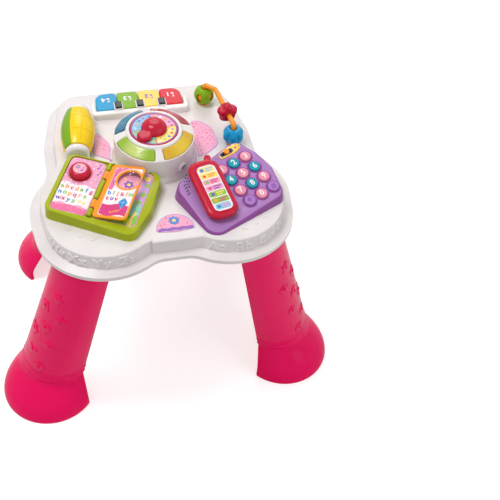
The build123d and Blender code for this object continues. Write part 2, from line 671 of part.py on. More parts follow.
with BuildPart() as dial_disc:
    with BuildSketch(Plane.XY.offset(DISC_Z0)):
        Circle(DISC_R)
    extrude(amount=DISC_T)
    fillet(dial_disc.edges().group_by(Axis.Z)[-1], 1)
    with BuildSketch(Plane.XY.offset(DISC_Z0 - WALL - 1.5)):
        Circle(AXLE_R - RUN_FIT)
    extrude(amount=WALL + 2)
    with BuildSketch(Plane.XY.offset(DISC_Z0 - WALL - 1.5 - BODY_GAP)):
        Circle(AXLE_R + 2)
    extrude(amount=1.5)
save(dial_disc, "dial_disc")

with BuildPart() as cap_lobe:
    with BuildSketch(Plane.XY.offset(DISC_Z0 + DISC_T)):
        with Locations(LOBE_AT):
            Circle(LOBE_R)
    extrude(amount=6.5)
    fillet(cap_lobe.edges().group_by(Axis.Z)[-1], 3)
with BuildPart() as spinner_cap:
    with BuildSketch(radial_plane(0)):
        with BuildLine():
            base_z = DISC_Z0 + DISC_T
            l1 = Line((0, base_z), (SPINNER_R, base_z))
            l2 = Line(l1 @ 1, (SPINNER_R, base_z + 2))
            l3 = ThreePointArc(l2 @ 1, (SPINNER_R * 0.72, base_z + SPINNER_H * 0.78), (0, base_z + SPINNER_H))
            Line(l3 @ 1, l1 @ 0)
        make_face()
    revolve(axis=SPIN)
    add(cap_lobe.part)
save(spinner_cap, "spinner_cap")

# ---- roller ------------------------------------------------------------------
with BuildPart() as roller_drum:
    add(barrel(ROLLER_AXLE_R + RUN_FIT, 0, 0, 0, 360))
    add(barrel(ROLLER_AXLE_R + 2.5, -4, -4, 0, 360), mode=Mode.SUBTRACT)
    for at in STAVES_AT:
        add(barrel(ROLLER_END_R - STAVE_T, 1, 0, at, STAVE_ARC), mode=Mode.SUBTRACT)
save(roller_drum, "roller_drum")

with BuildPart() as roller_staves:
    for at in STAVES_AT:
        add(barrel(ROLLER_END_R - STAVE_T, 0, 0, at, STAVE_ARC))
save(roller_staves, "roller_staves")

with BuildPart() as roller_axle:
    with BuildSketch(ROLLER_ROUND):
        Circle(ROLLER_AXLE_R)
    extrude(amount=ROLLER_LEN / 2 + CUP_LEN - 2, both=True)
save(roller_axle, "roller_axle")


def roller_cup(way):
    """Rounded bearing block at one end of the roller: way -1 front, 1 back."""
    axis = Vector(*AXIS_R) * way
    start = Vector(*ROLLER_C) + axis * (ROLLER_LEN / 2 + BODY_GAP)
    plane = Plane(origin=start, x_dir=ROLLER_UP, z_dir=axis)
    with BuildPart() as cup:
        with BuildSketch(plane):
            Circle(CUP_R)
            with Locations((-CUP_R, 0)):
                Rectangle(2 * CUP_R, 2 * CUP_R)
        extrude(amount=CUP_LEN)
        fillet(cup.edges().filter_by(GeomType.CIRCLE).sort_by_distance(start + axis * CUP_LEN)[:1], 5.5)
        with BuildSketch(plane.offset(-1)):
            Circle(ROLLER_AXLE_R)
        extrude(amount=CUP_LEN - 1.5, mode=Mode.SUBTRACT)
        split(bisect_by=Plane.XY.offset(DECK_Z), keep=Keep.TOP)
    return cup.part


with BuildPart() as roller_cups:
    for way in (-1, 1):
        add(roller_cup(way))
save(roller_cups, "roller_cups")

# ---- piano -------------------------------------------------------------------
PIANO_W = 4 * KEY_PITCH + 1.2
SHARP_Y = KEY_Y0 - 2 + SHARP_LEN / 2
with BuildPart() as piano_block:
    with Locations((PIANO_X, KEY_Y0 - 1 - BAR_DEPTH / 2, (DECK_Z + BAR_TOP) / 2)):
        Box(PIANO_W + 2 * BLOCK_END, BAR_DEPTH, BAR_TOP - DECK_Z)
    for way in (-1, 1):
        with Locations((PIANO_X + way * (PIANO_W + BLOCK_END) / 2, KEY_Y0 + 8, (DECK_Z + BAR_TOP) / 2)):
            Box(BLOCK_END, 18, BAR_TOP - DECK_Z)
    fillet(piano_block.edges().filter_by(Axis.Z).group_by(Axis.Y)[0], 6)
    fillet(piano_block.edges().filter_by(Axis.Z).group_by(Axis.Y)[-1], 2.5)
    fillet(piano_block.edges().group_by(Axis.Z)[-1], 2)
    with Locations((PIANO_X, (KEY_Y0 - 1 + KEY_Y1) / 2, DECK_Z + 0.6)):
        Box(PIANO_W, KEY_Y1 - KEY_Y0 + 1, 1.2)
    # tongues that reach over the keys and carry the black ones
    for i in (-1, 0, 1):
        x = PIANO_X + i * KEY_PITCH
        with Locations((x, SHARP_Y + TONGUE_RIM / 2, KEY_TOP + 0.6 + TONGUE_T / 2)):
            Box(SHARP_W + 2 * TONGUE_RIM, SHARP_LEN + TONGUE_RIM, TONGUE_T)
        with Locations((x, KEY_Y0 - 2, (BAR_TOP + KEY_TOP) / 2)):
            Box(SHARP_W + 2 * TONGUE_RIM, 2, 3)
    with BuildSketch(Plane(origin=(PIANO_X, KEY_ROD_Y, KEY_ROD_Z), z_dir=(1, 0, 0))):
        Circle(KEY_ROD_R)
    extrude(amount=PIANO_W / 2 + 3, both=True, mode=Mode.SUBTRACT)
save(piano_block, "piano_block")

with BuildPart() as key_rod:
    with BuildSketch(Plane(origin=(PIANO_X, KEY_ROD_Y, KEY_ROD_Z), z_dir=(1, 0, 0))):
        Circle(KEY_ROD_R)
    extrude(amount=PIANO_W / 2 + 3, both=True)
save(key_rod, "key_rod")

with BuildPart() as black_keys:
    for i in (-1, 0, 1):
        with Locations((PIANO_X + i * KEY_PITCH, SHARP_Y, KEY_TOP + 0.6 + TONGUE_T + SHARP_T / 2)):
            Box(SHARP_W, SHARP_LEN, SHARP_T)
    fillet(black_keys.edges().group_by(Axis.Z)[-1], 1.0)
save(black_keys, "black_keys")

for i, name in enumerate(("key_blue", "key_green", "key_yellow", "key_red")):
    x = PIANO_X + (i - 1.5) * KEY_PITCH
    with BuildPart() as key:
        with Locations((x, (KEY_Y0 + KEY_Y1) / 2, (KEY_BOTTOM + KEY_TOP) / 2)):
            Box(KEY_W, KEY_Y1 - KEY_Y0, KEY_TOP - KEY_BOTTOM)
        back = key.edges().filter_by(Axis.Z).group_by(Axis.Y)[-1].sort_by(Axis.X)
        left_r = KEY_CORNER if i == 0 else 5
        right_r = KEY_CORNER if i == 3 else 5
        fillet(back[0], left_r)
        fillet(key.edges().filter_by(Axis.Z).group_by(Axis.Y)[-1].sort_by(Axis.X)[-1], right_r)
        fillet(key.edges().group_by(Axis.Z)[-1], 1.5)
        with BuildSketch(Plane(origin=(x, KEY_ROD_Y, KEY_ROD_Z), z_dir=(1, 0, 0))):
            Circle(KEY_ROD_R + RUN_FIT)
        extrude(amount=KEY_W, both=True, mode=Mode.SUBTRACT)
    save(key, name)

# ---- bead rail and beads -----------------------------------------------------
with BuildPart() as bead_rail:
    with BuildLine() as rail_line:
        FilletPolyline((*POST_BACK, DECK_Z - WALL), (*POST_BACK, RAIL_TOP), (*RAIL_KNEE, RAIL_TOP),
                       (*POST_FRONT, RAIL_TOP), (*POST_FRONT, DECK_Z - WALL), radius=RAIL_BEND)
    with BuildSketch(Plane(origin=(*POST_BACK, DECK_Z - WALL), z_dir=(0, 0, 1))):
        Circle(RAIL_R)
    sweep(path=rail_line.wire())
    with BuildSketch(Plane.XY.offset(DECK_Z)):
        with Locations(POST_BACK, POST_FRONT):
            Circle(COLLAR_R)
    extrude(amount=COLLAR_H)
save(bead_rail, "bead_rail")

BORE = RAIL_R + BEAD_BORE_GAP
with BuildPart() as bead_green_core:
    with Locations((*POST_BACK, BEAD_Z)):
        Sphere(BEAD_R - BEAD_SHELL - BODY_GAP)
        Cylinder(BORE, 2 * BEAD_R, mode=Mode.SUBTRACT)
save(bead_green_core, "bead_green_core")

with BuildPart() as bead_green:
    with Locations((*POST_BACK, BEAD_Z)):
        Sphere(BEAD_R)
        Sphere(BEAD_R - BEAD_SHELL, mode=Mode.SUBTRACT)
        Cylinder(BORE, 3 * BEAD_R, mode=Mode.SUBTRACT)
    for i in range(4):
        turn = radians(45 + 90 * i)
        with BuildSketch(Plane(origin=(*POST_BACK, BEAD_Z), x_dir=(0, 0, 1), z_dir=(cos(turn), sin(turn), 0))):
            Ellipse(7.2, 4.2)
        extrude(amount=2 * BEAD_R, mode=Mode.SUBTRACT)
    with Locations((*POST_BACK, BEAD_Z + BEAD_R)):
        Box(20, 20, 2 * BEAD_FLAT, mode=Mode.SUBTRACT)
    with Locations((*POST_BACK, BEAD_Z - BEAD_R)):
        Box(20, 20, 2 * BEAD_FLAT, mode=Mode.SUBTRACT)
save(bead_green, "bead_green")

RUN_X = POST_FRONT[0] - RAIL_KNEE[0]
RUN_Y = POST_FRONT[1] - RAIL_KNEE[1]
RUN_LEN = sqrt(RUN_X ** 2 + RUN_Y ** 2)
RUN_DIR = (RUN_X / RUN_LEN, RUN_Y / RUN_LEN, 0)
RED_C = (RAIL_KNEE[0] + RED_BEAD_AT * RUN_X, RAIL_KNEE[1] + RED_BEAD_AT * RUN_Y, RAIL_TOP)
RED_PLANE = Plane(origin=RED_C, x_dir=(0, 0, 1), z_dir=RUN_DIR)
SLEEVE_R = 6.6
RED_HALF = 8.0

with BuildPart() as bead_red_core:
    with BuildSketch(RED_PLANE):
        Circle(SLEEVE_R)
        Circle(RAIL_R + BEAD_BORE_GAP, mode=Mode.SUBTRACT)
    extrude(amount=RED_HALF, both=True)
    for way in (-1, 1):
        with BuildSketch(RED_PLANE.offset(way * (RED_HALF + 0.6))):
            Circle(SLEEVE_R + 1.6)
            Circle(RAIL_R + BEAD_BORE_GAP, mode=Mode.SUBTRACT)
        extrude(amount=0.6, both=True)
save(bead_red_core, "bead_red_core")

with BuildPart() as bead_red:
    with BuildSketch(RED_PLANE):
        Circle(BLOB_R - 3.8)
        with PolarLocations(BLOB_R - 5.2, 5):
            Circle(5.2)
        Circle(SLEEVE_R + RUN_FIT, mode=Mode.SUBTRACT)
    extrude(amount=RED_HALF - BODY_GAP, both=True)
    fillet(bead_red.edges().filter_by(RED_PLANE.offset(RED_HALF - BODY_GAP)).filter_by(
        lambda e: e.radius < 6), 1.5)
save(bead_red, "bead_red")

with BuildPart() as bead_blue:
    with BuildSketch(Plane.XY.offset(BEAD_Z - 11)):
        with Locations(POST_FRONT):
            Circle(BLOB_R - 4.6)
            with PolarLocations(BLOB_R - 5.8, 6, start_angle=15):
                Circle(5.8)
    extrude(amount=22)
    with Locations((*POST_FRONT, BEAD_Z)):
        Sphere(BLOB_R + 0.6, mode=Mode.INTERSECT)
    with BuildSketch(Plane.XY.offset(BEAD_Z - 12)):
        with Locations(POST_FRONT):
            Circle(BORE)
    extrude(amount=24, mode=Mode.SUBTRACT)
save(bead_blue, "bead_blue")

# ---- picture book ------------------------------------------------------------
SECTION = Plane(origin=BOOK.origin, x_dir=BOOK.x_dir, z_dir=-BOOK.y_dir)
PAGE_X = 5.0 + PAGE_W / 2       # middle of the left page, measured from the spine
BED_X = 5.0 + BED_W / 2         # middle of the right bed
LEAF_X = BOOK.x_dir * cos(radians(LEAF_ANGLE)) + BOOK.z_dir * sin(radians(LEAF_ANGLE))
LEAF_N = BOOK.z_dir * cos(radians(LEAF_ANGLE)) - BOOK.x_dir * sin(radians(LEAF_ANGLE))
LEAF = Plane(origin=BOOK.from_local_coords((0, 0, SPINE_Z)), x_dir=LEAF_X, z_dir=LEAF_N)


def tray_outline(plane, grow):
    with BuildSketch(plane) as outline:
        for x, y, r in TRAY_CORNERS:
            with Locations((x, y)):
                Circle(r + grow)
        make_hull()
    return outline.sketch.face()


def page_face(plane, centre_x, width, grow, radius):
    with BuildSketch(plane) as outline:
        with Locations((centre_x, 0)):
            RectangleRounded(width + 2 * grow, PAGE_H + 2 * grow, radius)
    return outline.sketch.face()


with BuildPart() as tray_hollow:
    add(drafted(tray_outline, BOOK_FLAT.offset(-1), -WALL, 30, TRAY_DRAFT))
    split(bisect_by=BOOK.offset(-PRINT_T - WALL), keep=Keep.BOTTOM)

with BuildPart() as page_pegs:
    with BuildSketch(BOOK.offset(-PRINT_T - 1)):
        with Locations(PEG_AT, (PEG_AT[0], -PEG_AT[1])):
            Circle(PEG_R)
    extrude(amount=20)
    split(bisect_by=LEAF.offset(-PAGE_T / 2 - 0.05), keep=Keep.BOTTOM)

with BuildPart() as book_tray:
    add(drafted(tray_outline, BOOK_FLAT, 0, 30, TRAY_DRAFT))
    split(bisect_by=BOOK.offset(BORDER), keep=Keep.BOTTOM)
    fillet(book_tray.edges().filter_by(BOOK.offset(BORDER)), 1.0)
    add(tray_hollow.part, mode=Mode.SUBTRACT)
    # rib that carries the spine
    with BuildSketch(SECTION):
        with Locations((0, -9)):
            Rectangle(14, 18)
    extrude(amount=PAGE_H / 2 + 1.5, both=True)
    split(bisect_by=Plane.XY.offset(DECK_Z), keep=Keep.TOP)
    # one sunk bed for both pages, and the groove of the turning knuckles
    add(extrude(page_face(BOOK.offset(-PRINT_T), (BED_X - PAGE_X) / 2 + (BED_W - PAGE_W) / 4,
                          PAGE_X + PAGE_W / 2 + BED_X + BED_W / 2, 1.2, 8), 8), mode=Mode.SUBTRACT)
    with BuildSketch(SECTION):
        with Locations((0, SPINE_Z)):
            Circle(KNUCKLE_R + BODY_GAP)
    extrude(amount=PAGE_H / 2 + 1.5, both=True, mode=Mode.SUBTRACT)
    # fixed knuckles: both ends and a long one in the middle
    for y, length in FIXED_KNUCKLES:
        with BuildSketch(SECTION.offset(-y)):
            with Locations((0, SPINE_Z)):
                Circle(KNUCKLE_R)
            with Locations((0, SPINE_Z - KNUCKLE_R - 0.5)):
                Rectangle(2 * KNUCKLE_R, 2 * KNUCKLE_R + 1)
        extrude(amount=length / 2, both=True)
    with BuildSketch(SECTION):
        with Locations((0, SPINE_Z)):
            Circle(SPINE_PIN_R)
    extrude(amount=PAGE_H / 2 + 1, both=True, mode=Mode.SUBTRACT)
    # pegs under the outer edge of the turning page
    add(page_pegs.part)
    with BuildSketch(BOOK.offset(-8)):
        with Locations(BOOK_BUTTON):
            Circle(BOOK_BUTTON_R + SLIDE_GAP)
    extrude(amount=14, mode=Mode.SUBTRACT)
    # the corner gives way to the flared foot of the dome
    with BuildSketch(Plane.XY.offset(DECK_Z)):
        Circle(MOUND_R + 2 * BODY_GAP)
    extrude(amount=MOUND_Z - DECK_Z + 2, taper=26, mode=Mode.SUBTRACT)
    with BuildSketch(Plane.XY.offset(DECK_Z)):
        Circle(DOME_BASE_R + 2 * BODY_GAP)
    extrude(amount=50, mode=Mode.SUBTRACT)
save(book_tray, "book_tray")

with BuildPart() as spine_pin:
    with BuildSketch(SECTION):
        with Locations((0, SPINE_Z)):
            Circle(SPINE_PIN_R)
    extrude(amount=PAGE_H / 2 + 1, both=True)
save(spine_pin, "spine_pin")

with BuildPart() as book_prints:
    add(extrude(page_face(BOOK.offset(-PRINT_T), -PAGE_X, PAGE_W, 0.5, 7), PRINT_T))
    with BuildSketch(BOOK.offset(-2)):
        with Locations(BOOK_BUTTON):
            Circle(BOOK_BUTTON_R + 1.2)
    extrude(amount=4, mode=Mode.SUBTRACT)
    add(extrude(page_face(BOOK.offset(-PRINT_T), BED_X, BED_W, 0.5, 7), PRINT_T))
    with BuildSketch(BOOK.offset(-2)):
        with Locations(PEG_AT, (PEG_AT[0], -PEG_AT[1])):
            Circle(PEG_R + SLIDE_GAP)
    extrude(amount=4, mode=Mode.SUBTRACT)
    with BuildSketch(Plane.XY.offset(DECK_Z)):
        Circle(DOME_BASE_R + 2)
    extrude(amount=50, mode=Mode.SUBTRACT)
save(book_prints, "book_prints")


def page_sheet(centre_x, width, height, radius, hole):
    """Outline of the turning page or of its print, with the hole for the button."""
    with BuildSketch(LEAF) as outline:
        with Locations((centre_x, 0)):
            RectangleRounded(width, height, radius)
        with Locations((-BOOK_BUTTON[0], BOOK_BUTTON[1])):
            Circle(hole, mode=Mode.SUBTRACT)
    return outline.sketch


PRINT_SHEET = page_sheet(PAGE_X + 0.5, PAGE_W - 9, PAGE_H - 8, 3, PAGE_HOLE_R + HOLE_RIM)
with BuildPart() as turning_page:
    add(extrude(page_sheet(3.4 + PAGE_W / 2, PAGE_W, PAGE_H, 6, PAGE_HOLE_R), PAGE_T / 2, both=True))
    add(extrude(PRINT_SHEET.moved(Location(LEAF_N * (PAGE_T / 2 - PRINT_T))), 2), mode=Mode.SUBTRACT)
    # clear the fixed knuckles, then grow the two turning ones
    for y, length in FIXED_KNUCKLES:
        with BuildSketch(SECTION.offset(-y)):
            with Locations((0, SPINE_Z)):
                Circle(KNUCKLE_R + 2 * BODY_GAP)
        extrude(amount=length / 2 + BODY_GAP, both=True, mode=Mode.SUBTRACT)
    for y, length in PAGE_KNUCKLES:
        with BuildSketch(SECTION.offset(-y)):
            with Locations((0, SPINE_Z)):
                Circle(KNUCKLE_R)
        extrude(amount=length / 2, both=True)
        with BuildSketch(LEAF):
            with Locations((3, y)):
                Rectangle(4.4, length)
        extrude(amount=PAGE_T / 2, both=True)
    with BuildSketch(SECTION):
        with Locations((0, SPINE_Z)):
            Circle(SPINE_PIN_R + RUN_FIT)
    extrude(amount=PAGE_H / 2 + 5, both=True, mode=Mode.SUBTRACT)
save(turning_page, "turning_page")

with BuildPart() as page_print:
    add(extrude(PRINT_SHEET.moved(Location(LEAF_N * (PAGE_T / 2 - PRINT_T))), PRINT_T - 0.05))
save(page_print, "page_print")

BUTTON_TOP = 8.5
with BuildPart() as book_button:
    with BuildSketch(BOOK.offset(-PRINT_T - WALL)):
        with Locations(BOOK_BUTTON):
            Circle(BOOK_BUTTON_R)
    extrude(amount=BUTTON_TOP + PRINT_T + WALL)
    fillet(book_button.edges().filter_by(BOOK.offset(BUTTON_TOP)), 4.5)
    with BuildSketch(BOOK.offset(-PRINT_T - WALL - 1.6)):
        with Locations(BOOK_BUTTON):
            Circle(BOOK_BUTTON_R + 1.6)
    extrude(amount=1.6)
    with BuildSketch(BOOK.offset(-9)):
        with Locations(BOOK_BUTTON):
            Circle(4)
    extrude(amount=5)
save(book_button, "book_button")


# ---- telephone ---------------------------------------------------------------
def phone_outline(plane, grow):
    with BuildSketch(plane) as outline:
        for x, y, r in PHONE_CORNERS:
            with Locations((x, y)):
                Circle(r + grow)
        make_hull()
    return outline.sketch.face()


HAND = Plane(origin=PHONE.from_local_coords((*HANDSET_C, 0)),
             x_dir=(PHONE.x_dir * cos(radians(HANDSET_TURN)) + PHONE.y_dir * sin(radians(HANDSET_TURN))),
             z_dir=PHONE.z_dir)


def handset_outline(plane, width, grow):
    """Rounded bar; a smaller width takes the same amount off each end."""
    with BuildSketch(plane) as outline:
        narrower = HANDSET_W - width
        RectangleRounded(width + 2 * grow, HANDSET_LEN - narrower + 2 * grow,
                         HANDSET_CORNER - narrower / 2 + grow)
    return outline.sketch.face()


KEY_SPOTS = [(c * PHONE_PITCH_X, -r * PHONE_PITCH_Y) for r in (-1, 0, 1, 2) for c in (-1, 0, 1)]
KEY_NAMES = ["1", "2", "3", "4", "5", "6", "7", "8", "9", "star", "0", "hash"]

with BuildPart() as phone_hollow:
    add(drafted(phone_outline, PHONE_FLAT.offset(-1), -WALL, 40, PHONE_DRAFT))
    split(bisect_by=PHONE.offset(-WALL), keep=Keep.BOTTOM)

with BuildPart() as phone_base:
    add(drafted(phone_outline, PHONE_FLAT, 0, 40, PHONE_DRAFT))
    split(bisect_by=PHONE, keep=Keep.BOTTOM)
    fillet(phone_base.edges().filter_by(PHONE), 3.5)
    add(phone_hollow.part, mode=Mode.SUBTRACT)
    add(extrude(handset_outline(HAND.offset(-CRADLE_DEPTH), HANDSET_BASE_W, BODY_GAP + 0.4), 10),
        mode=Mode.SUBTRACT)
    with BuildSketch(PHONE.offset(-WALL - 2)):
        with Locations(*KEY_SPOTS):
            Circle(PHONE_KEY_R + SLIDE_GAP)
        with Locations((LABEL_C[0] - 5, LABEL_C[1] - 1)):
            SlotOverall(SLOT_LEN, SLOT_W)
    extrude(amount=10, mode=Mode.SUBTRACT)
    # posts between the keys that carry the key mat
    with BuildSketch(PHONE.offset(-WALL)):
        with Locations((0, -PHONE_PITCH_Y / 2)):
            with GridLocations(PHONE_PITCH_X, PHONE_PITCH_Y, 2, 3):
                Circle(2)
    extrude(amount=-4.3)
save(phone_base, "phone_base")

with BuildPart() as key_mat:
    with BuildSketch(PHONE.offset(-WALL - 5.3)):
        with Locations((0, -PHONE_PITCH_Y / 2)):
            RectangleRounded(2 * PHONE_PITCH_X + 11, 3 * PHONE_PITCH_Y + 12, 4)
    extrude(amount=1)
    with BuildSketch(PHONE.offset(-WALL - 4.3)):
        with Locations(*KEY_SPOTS):
            Circle(3.5)
    extrude(amount=0.4)
save(key_mat, "key_mat")

for spot, key_name in zip(KEY_SPOTS, KEY_NAMES):
    with BuildPart() as key:
        with BuildSketch(PHONE.offset(-WALL)):
            with Locations(spot):
                Circle(PHONE_KEY_R)
        extrude(amount=WALL + PHONE_KEY_H)
        fillet(key.edges().filter_by(PHONE.offset(PHONE_KEY_H)), 1.6)
        with BuildSketch(PHONE.offset(-WALL - 1.2)):
            with Locations(spot):
                Circle(PHONE_KEY_R + 0.8)
        extrude(amount=1.2)
        with BuildSketch(PHONE.offset(-WALL - 2.5)):
            with Locations(spot):
                Circle(2.5)
        extrude(amount=1.4)
    save(key, f"phone_key_{key_name}")

GRIP_WAIST = HAND.offset(HANDSET_WAIST - CRADLE_DEPTH)
KEYS_CLEARED = HAND.offset(PHONE_KEY_H + 0.6)
with BuildPart() as handset_upper:
    add(extrude(handset_outline(GRIP_WAIST, HANDSET_W, 0), HANDSET_T - HANDSET_WAIST))
    fillet(handset_upper.edges().filter_by(HAND).group_by(Axis(HAND.origin, HAND.z_dir))[-1], 5)

with BuildPart() as handset:
    add(loft([handset_outline(HAND.offset(-CRADLE_DEPTH), HANDSET_BASE_W, 0),
              handset_outline(KEYS_CLEARED, HANDSET_BASE_W + 1.5, 0)]))
    add(loft([handset_outline(KEYS_CLEARED, HANDSET_BASE_W + 1.5, 0),
              handset_outline(GRIP_WAIST, HANDSET_W, 0)]))
    add(handset_upper.part)
    # stub at the top corner
    with BuildSketch(HAND.offset(4)):
        with Locations(STUB_AT):
            Circle(STUB_R)
    extrude(amount=6)
    # finger hollow under the grip
    with BuildSketch(HAND.offset(-CRADLE_DEPTH)):
        RectangleRounded(HANDSET_BASE_W - 9, 34, 3)
    extrude(amount=3.5, mode=Mode.SUBTRACT)
save(handset, "handset")

with BuildPart() as phone_label:
    with BuildSketch(PHONE):
        with Locations(LABEL_C):
            RectangleRounded(LABEL_W, LABEL_H, 5)
        with Locations((LABEL_C[0] - 5, LABEL_C[1] - 1)):
            SlotOverall(SLOT_LEN, SLOT_W, mode=Mode.SUBTRACT)
    extrude(amount=0.8)
save(phone_label, "phone_label")

with BuildPart() as slider_knob:
    with BuildSketch(PHONE.offset(0.8 + 0.2)):
        with Locations((LABEL_C[0] - 5, LABEL_C[1] - 1)):
            Circle(3.6)
    extrude(amount=3.2)
    fillet(slider_knob.edges().filter_by(PHONE.offset(4.2)), 0.8)
    with BuildSketch(PHONE.offset(-WALL - 1.2)):
        with Locations((LABEL_C[0] - 5, LABEL_C[1] - 1)):
            Circle(1.4)
    extrude(amount=WALL + 3)
    with BuildSketch(PHONE.offset(-WALL - 1.4)):
        with Locations((LABEL_C[0] - 5, LABEL_C[1] - 1)):
            Circle(3)
    extrude(amount=1.2)
save(slider_knob, "slider_knob")

# ---- inlays on the deck ------------------------------------------------------
with BuildPart() as deck_inlays:
    with BuildSketch(Plane.XY.offset(DECK_Z)) as side_patches:
        with BuildLine():
            Polyline(*LEFT_PATCH, close=True)
        make_face()
        with BuildLine():
            Polyline(*RIGHT_PATCH, close=True)
        make_face()
        fillet(side_patches.vertices(), 4)
        Circle(MOUND_R + 1.5, mode=Mode.SUBTRACT)
    extrude(amount=PRINT_T)
    with BuildSketch(Plane.XY.offset(DECK_Z)) as badge:
        with Locations((BLOCK_X - 1.5, -134)):
            Ellipse(24, 26)
        with Locations((BLOCK_X - 1.5, -154)):
            Rectangle(80, 40, mode=Mode.SUBTRACT)
        fillet(badge.vertices(), 2)
    extrude(amount=PRINT_T)
save(deck_inlays, "deck_inlays")
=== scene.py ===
"""Looks of a musical activity table: white play panel on four glossy pink legs.

Sizes are written in millimetres and turned to metres when a piece is made.
"""
import bpy, bmesh, json
from math import ceil, cos, hypot, pi, radians, sin, sqrt
from mathutils import Matrix, Vector
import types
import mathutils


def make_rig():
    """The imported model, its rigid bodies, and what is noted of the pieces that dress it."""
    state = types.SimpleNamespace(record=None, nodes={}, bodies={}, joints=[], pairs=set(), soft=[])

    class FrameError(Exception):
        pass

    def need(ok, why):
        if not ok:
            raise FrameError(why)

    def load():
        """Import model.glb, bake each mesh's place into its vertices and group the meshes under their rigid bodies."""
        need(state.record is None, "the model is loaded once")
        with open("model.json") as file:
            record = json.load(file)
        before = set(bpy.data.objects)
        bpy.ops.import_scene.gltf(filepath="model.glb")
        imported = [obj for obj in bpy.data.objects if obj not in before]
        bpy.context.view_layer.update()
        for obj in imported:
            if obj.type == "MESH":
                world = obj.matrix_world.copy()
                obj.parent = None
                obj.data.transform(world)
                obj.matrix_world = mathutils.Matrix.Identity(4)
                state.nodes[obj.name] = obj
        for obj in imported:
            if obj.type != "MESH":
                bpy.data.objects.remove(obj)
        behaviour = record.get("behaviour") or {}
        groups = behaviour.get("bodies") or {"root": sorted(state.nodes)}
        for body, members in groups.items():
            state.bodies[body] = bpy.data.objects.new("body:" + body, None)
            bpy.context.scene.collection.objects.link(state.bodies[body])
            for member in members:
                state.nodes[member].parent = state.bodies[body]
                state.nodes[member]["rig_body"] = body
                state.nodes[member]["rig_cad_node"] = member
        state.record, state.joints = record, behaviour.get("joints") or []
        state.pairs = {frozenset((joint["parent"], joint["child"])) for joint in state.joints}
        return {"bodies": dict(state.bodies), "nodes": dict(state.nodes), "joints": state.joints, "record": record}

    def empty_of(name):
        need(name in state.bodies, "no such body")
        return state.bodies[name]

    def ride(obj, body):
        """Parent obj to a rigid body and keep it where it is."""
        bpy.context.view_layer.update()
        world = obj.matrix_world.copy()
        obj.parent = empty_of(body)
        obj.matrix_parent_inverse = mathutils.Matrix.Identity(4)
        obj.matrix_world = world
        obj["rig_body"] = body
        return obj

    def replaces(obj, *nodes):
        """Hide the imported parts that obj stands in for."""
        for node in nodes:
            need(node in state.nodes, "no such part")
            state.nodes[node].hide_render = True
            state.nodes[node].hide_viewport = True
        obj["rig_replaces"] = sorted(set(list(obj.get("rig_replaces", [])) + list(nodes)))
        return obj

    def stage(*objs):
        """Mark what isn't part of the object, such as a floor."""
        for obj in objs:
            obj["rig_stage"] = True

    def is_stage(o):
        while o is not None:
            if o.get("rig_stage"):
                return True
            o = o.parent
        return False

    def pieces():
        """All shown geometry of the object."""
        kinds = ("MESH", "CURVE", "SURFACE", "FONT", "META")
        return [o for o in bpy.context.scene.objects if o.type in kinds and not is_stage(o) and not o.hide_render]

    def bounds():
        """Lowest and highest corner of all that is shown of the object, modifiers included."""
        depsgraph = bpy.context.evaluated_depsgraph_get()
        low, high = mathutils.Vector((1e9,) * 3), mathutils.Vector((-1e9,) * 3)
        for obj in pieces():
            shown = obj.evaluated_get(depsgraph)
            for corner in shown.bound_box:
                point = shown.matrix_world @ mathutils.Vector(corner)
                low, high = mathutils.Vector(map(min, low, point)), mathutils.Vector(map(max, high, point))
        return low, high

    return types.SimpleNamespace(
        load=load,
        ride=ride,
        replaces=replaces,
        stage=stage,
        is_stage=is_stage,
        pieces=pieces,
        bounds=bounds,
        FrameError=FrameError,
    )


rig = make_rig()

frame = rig.load()
CAD_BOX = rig.bounds()
NODES = frame["nodes"]
MM = 0.001


def linked(name, data):
    made = bpy.data.objects.new(name, data)
    bpy.context.scene.collection.objects.link(made)
    return made


# ---- camera ------------------------------------------------------------------
def look(azimuth, elevation, roll, place, lens):
    a, e, r = radians(azimuth), radians(elevation), radians(roll)
    back = Vector((sin(a) * cos(e), -cos(a) * cos(e), sin(e)))
    right = (-back).cross(Vector((0, 0, 1))).normalized()
    up = right.cross(-back)
    x_axis = right * cos(r) + up * sin(r)
    y_axis = up * cos(r) - right * sin(r)
    data = bpy.data.cameras.new("camera")
    data.sensor_width, data.lens = 36, lens
    data.clip_start, data.clip_end = 0.05, 20
    camera = linked("camera", data)
    turn = Matrix((x_axis, y_axis, back)).transposed().to_4x4()
    camera.matrix_world = Matrix.Translation(Vector(place) * MM) @ turn
    bpy.context.scene.camera = camera


look(-18.19, 48.91, 6.32, (-130.6, -838.9, 1108.2), 63.36)
bpy.context.scene.view_settings.view_transform = "Standard"


# ---- materials ---------------------------------------------------------------
def linear(code):
    """sRGB hex to a linear colour with alpha."""
    parts = [int(code[i:i + 2], 16) / 255 for i in (1, 3, 5)]
    return tuple(p / 12.92 if p <= 0.04045 else ((p + 0.055) / 1.055) ** 2.4 for p in parts) + (1.0,)


def add_node(tree, kind, inputs=None, **settings):
    """Adds a node; an input given as (node, output) becomes a link, anything else a value."""
    made = tree.nodes.new(kind)
    for key, value in settings.items():
        setattr(made, key, value)
    for key, value in (inputs or {}).items():
        if isinstance(value, tuple) and len(value) == 2 and isinstance(value[0], bpy.types.Node):
            tree.links.new(value[0].outputs[value[1]], made.inputs[key])
        else:
            made.inputs[key].default_value = value
    return made


def start_material(name):
    made = bpy.data.materials.new(name)
    made.use_nodes = True
    made.node_tree.nodes.clear()
    return made, made.node_tree


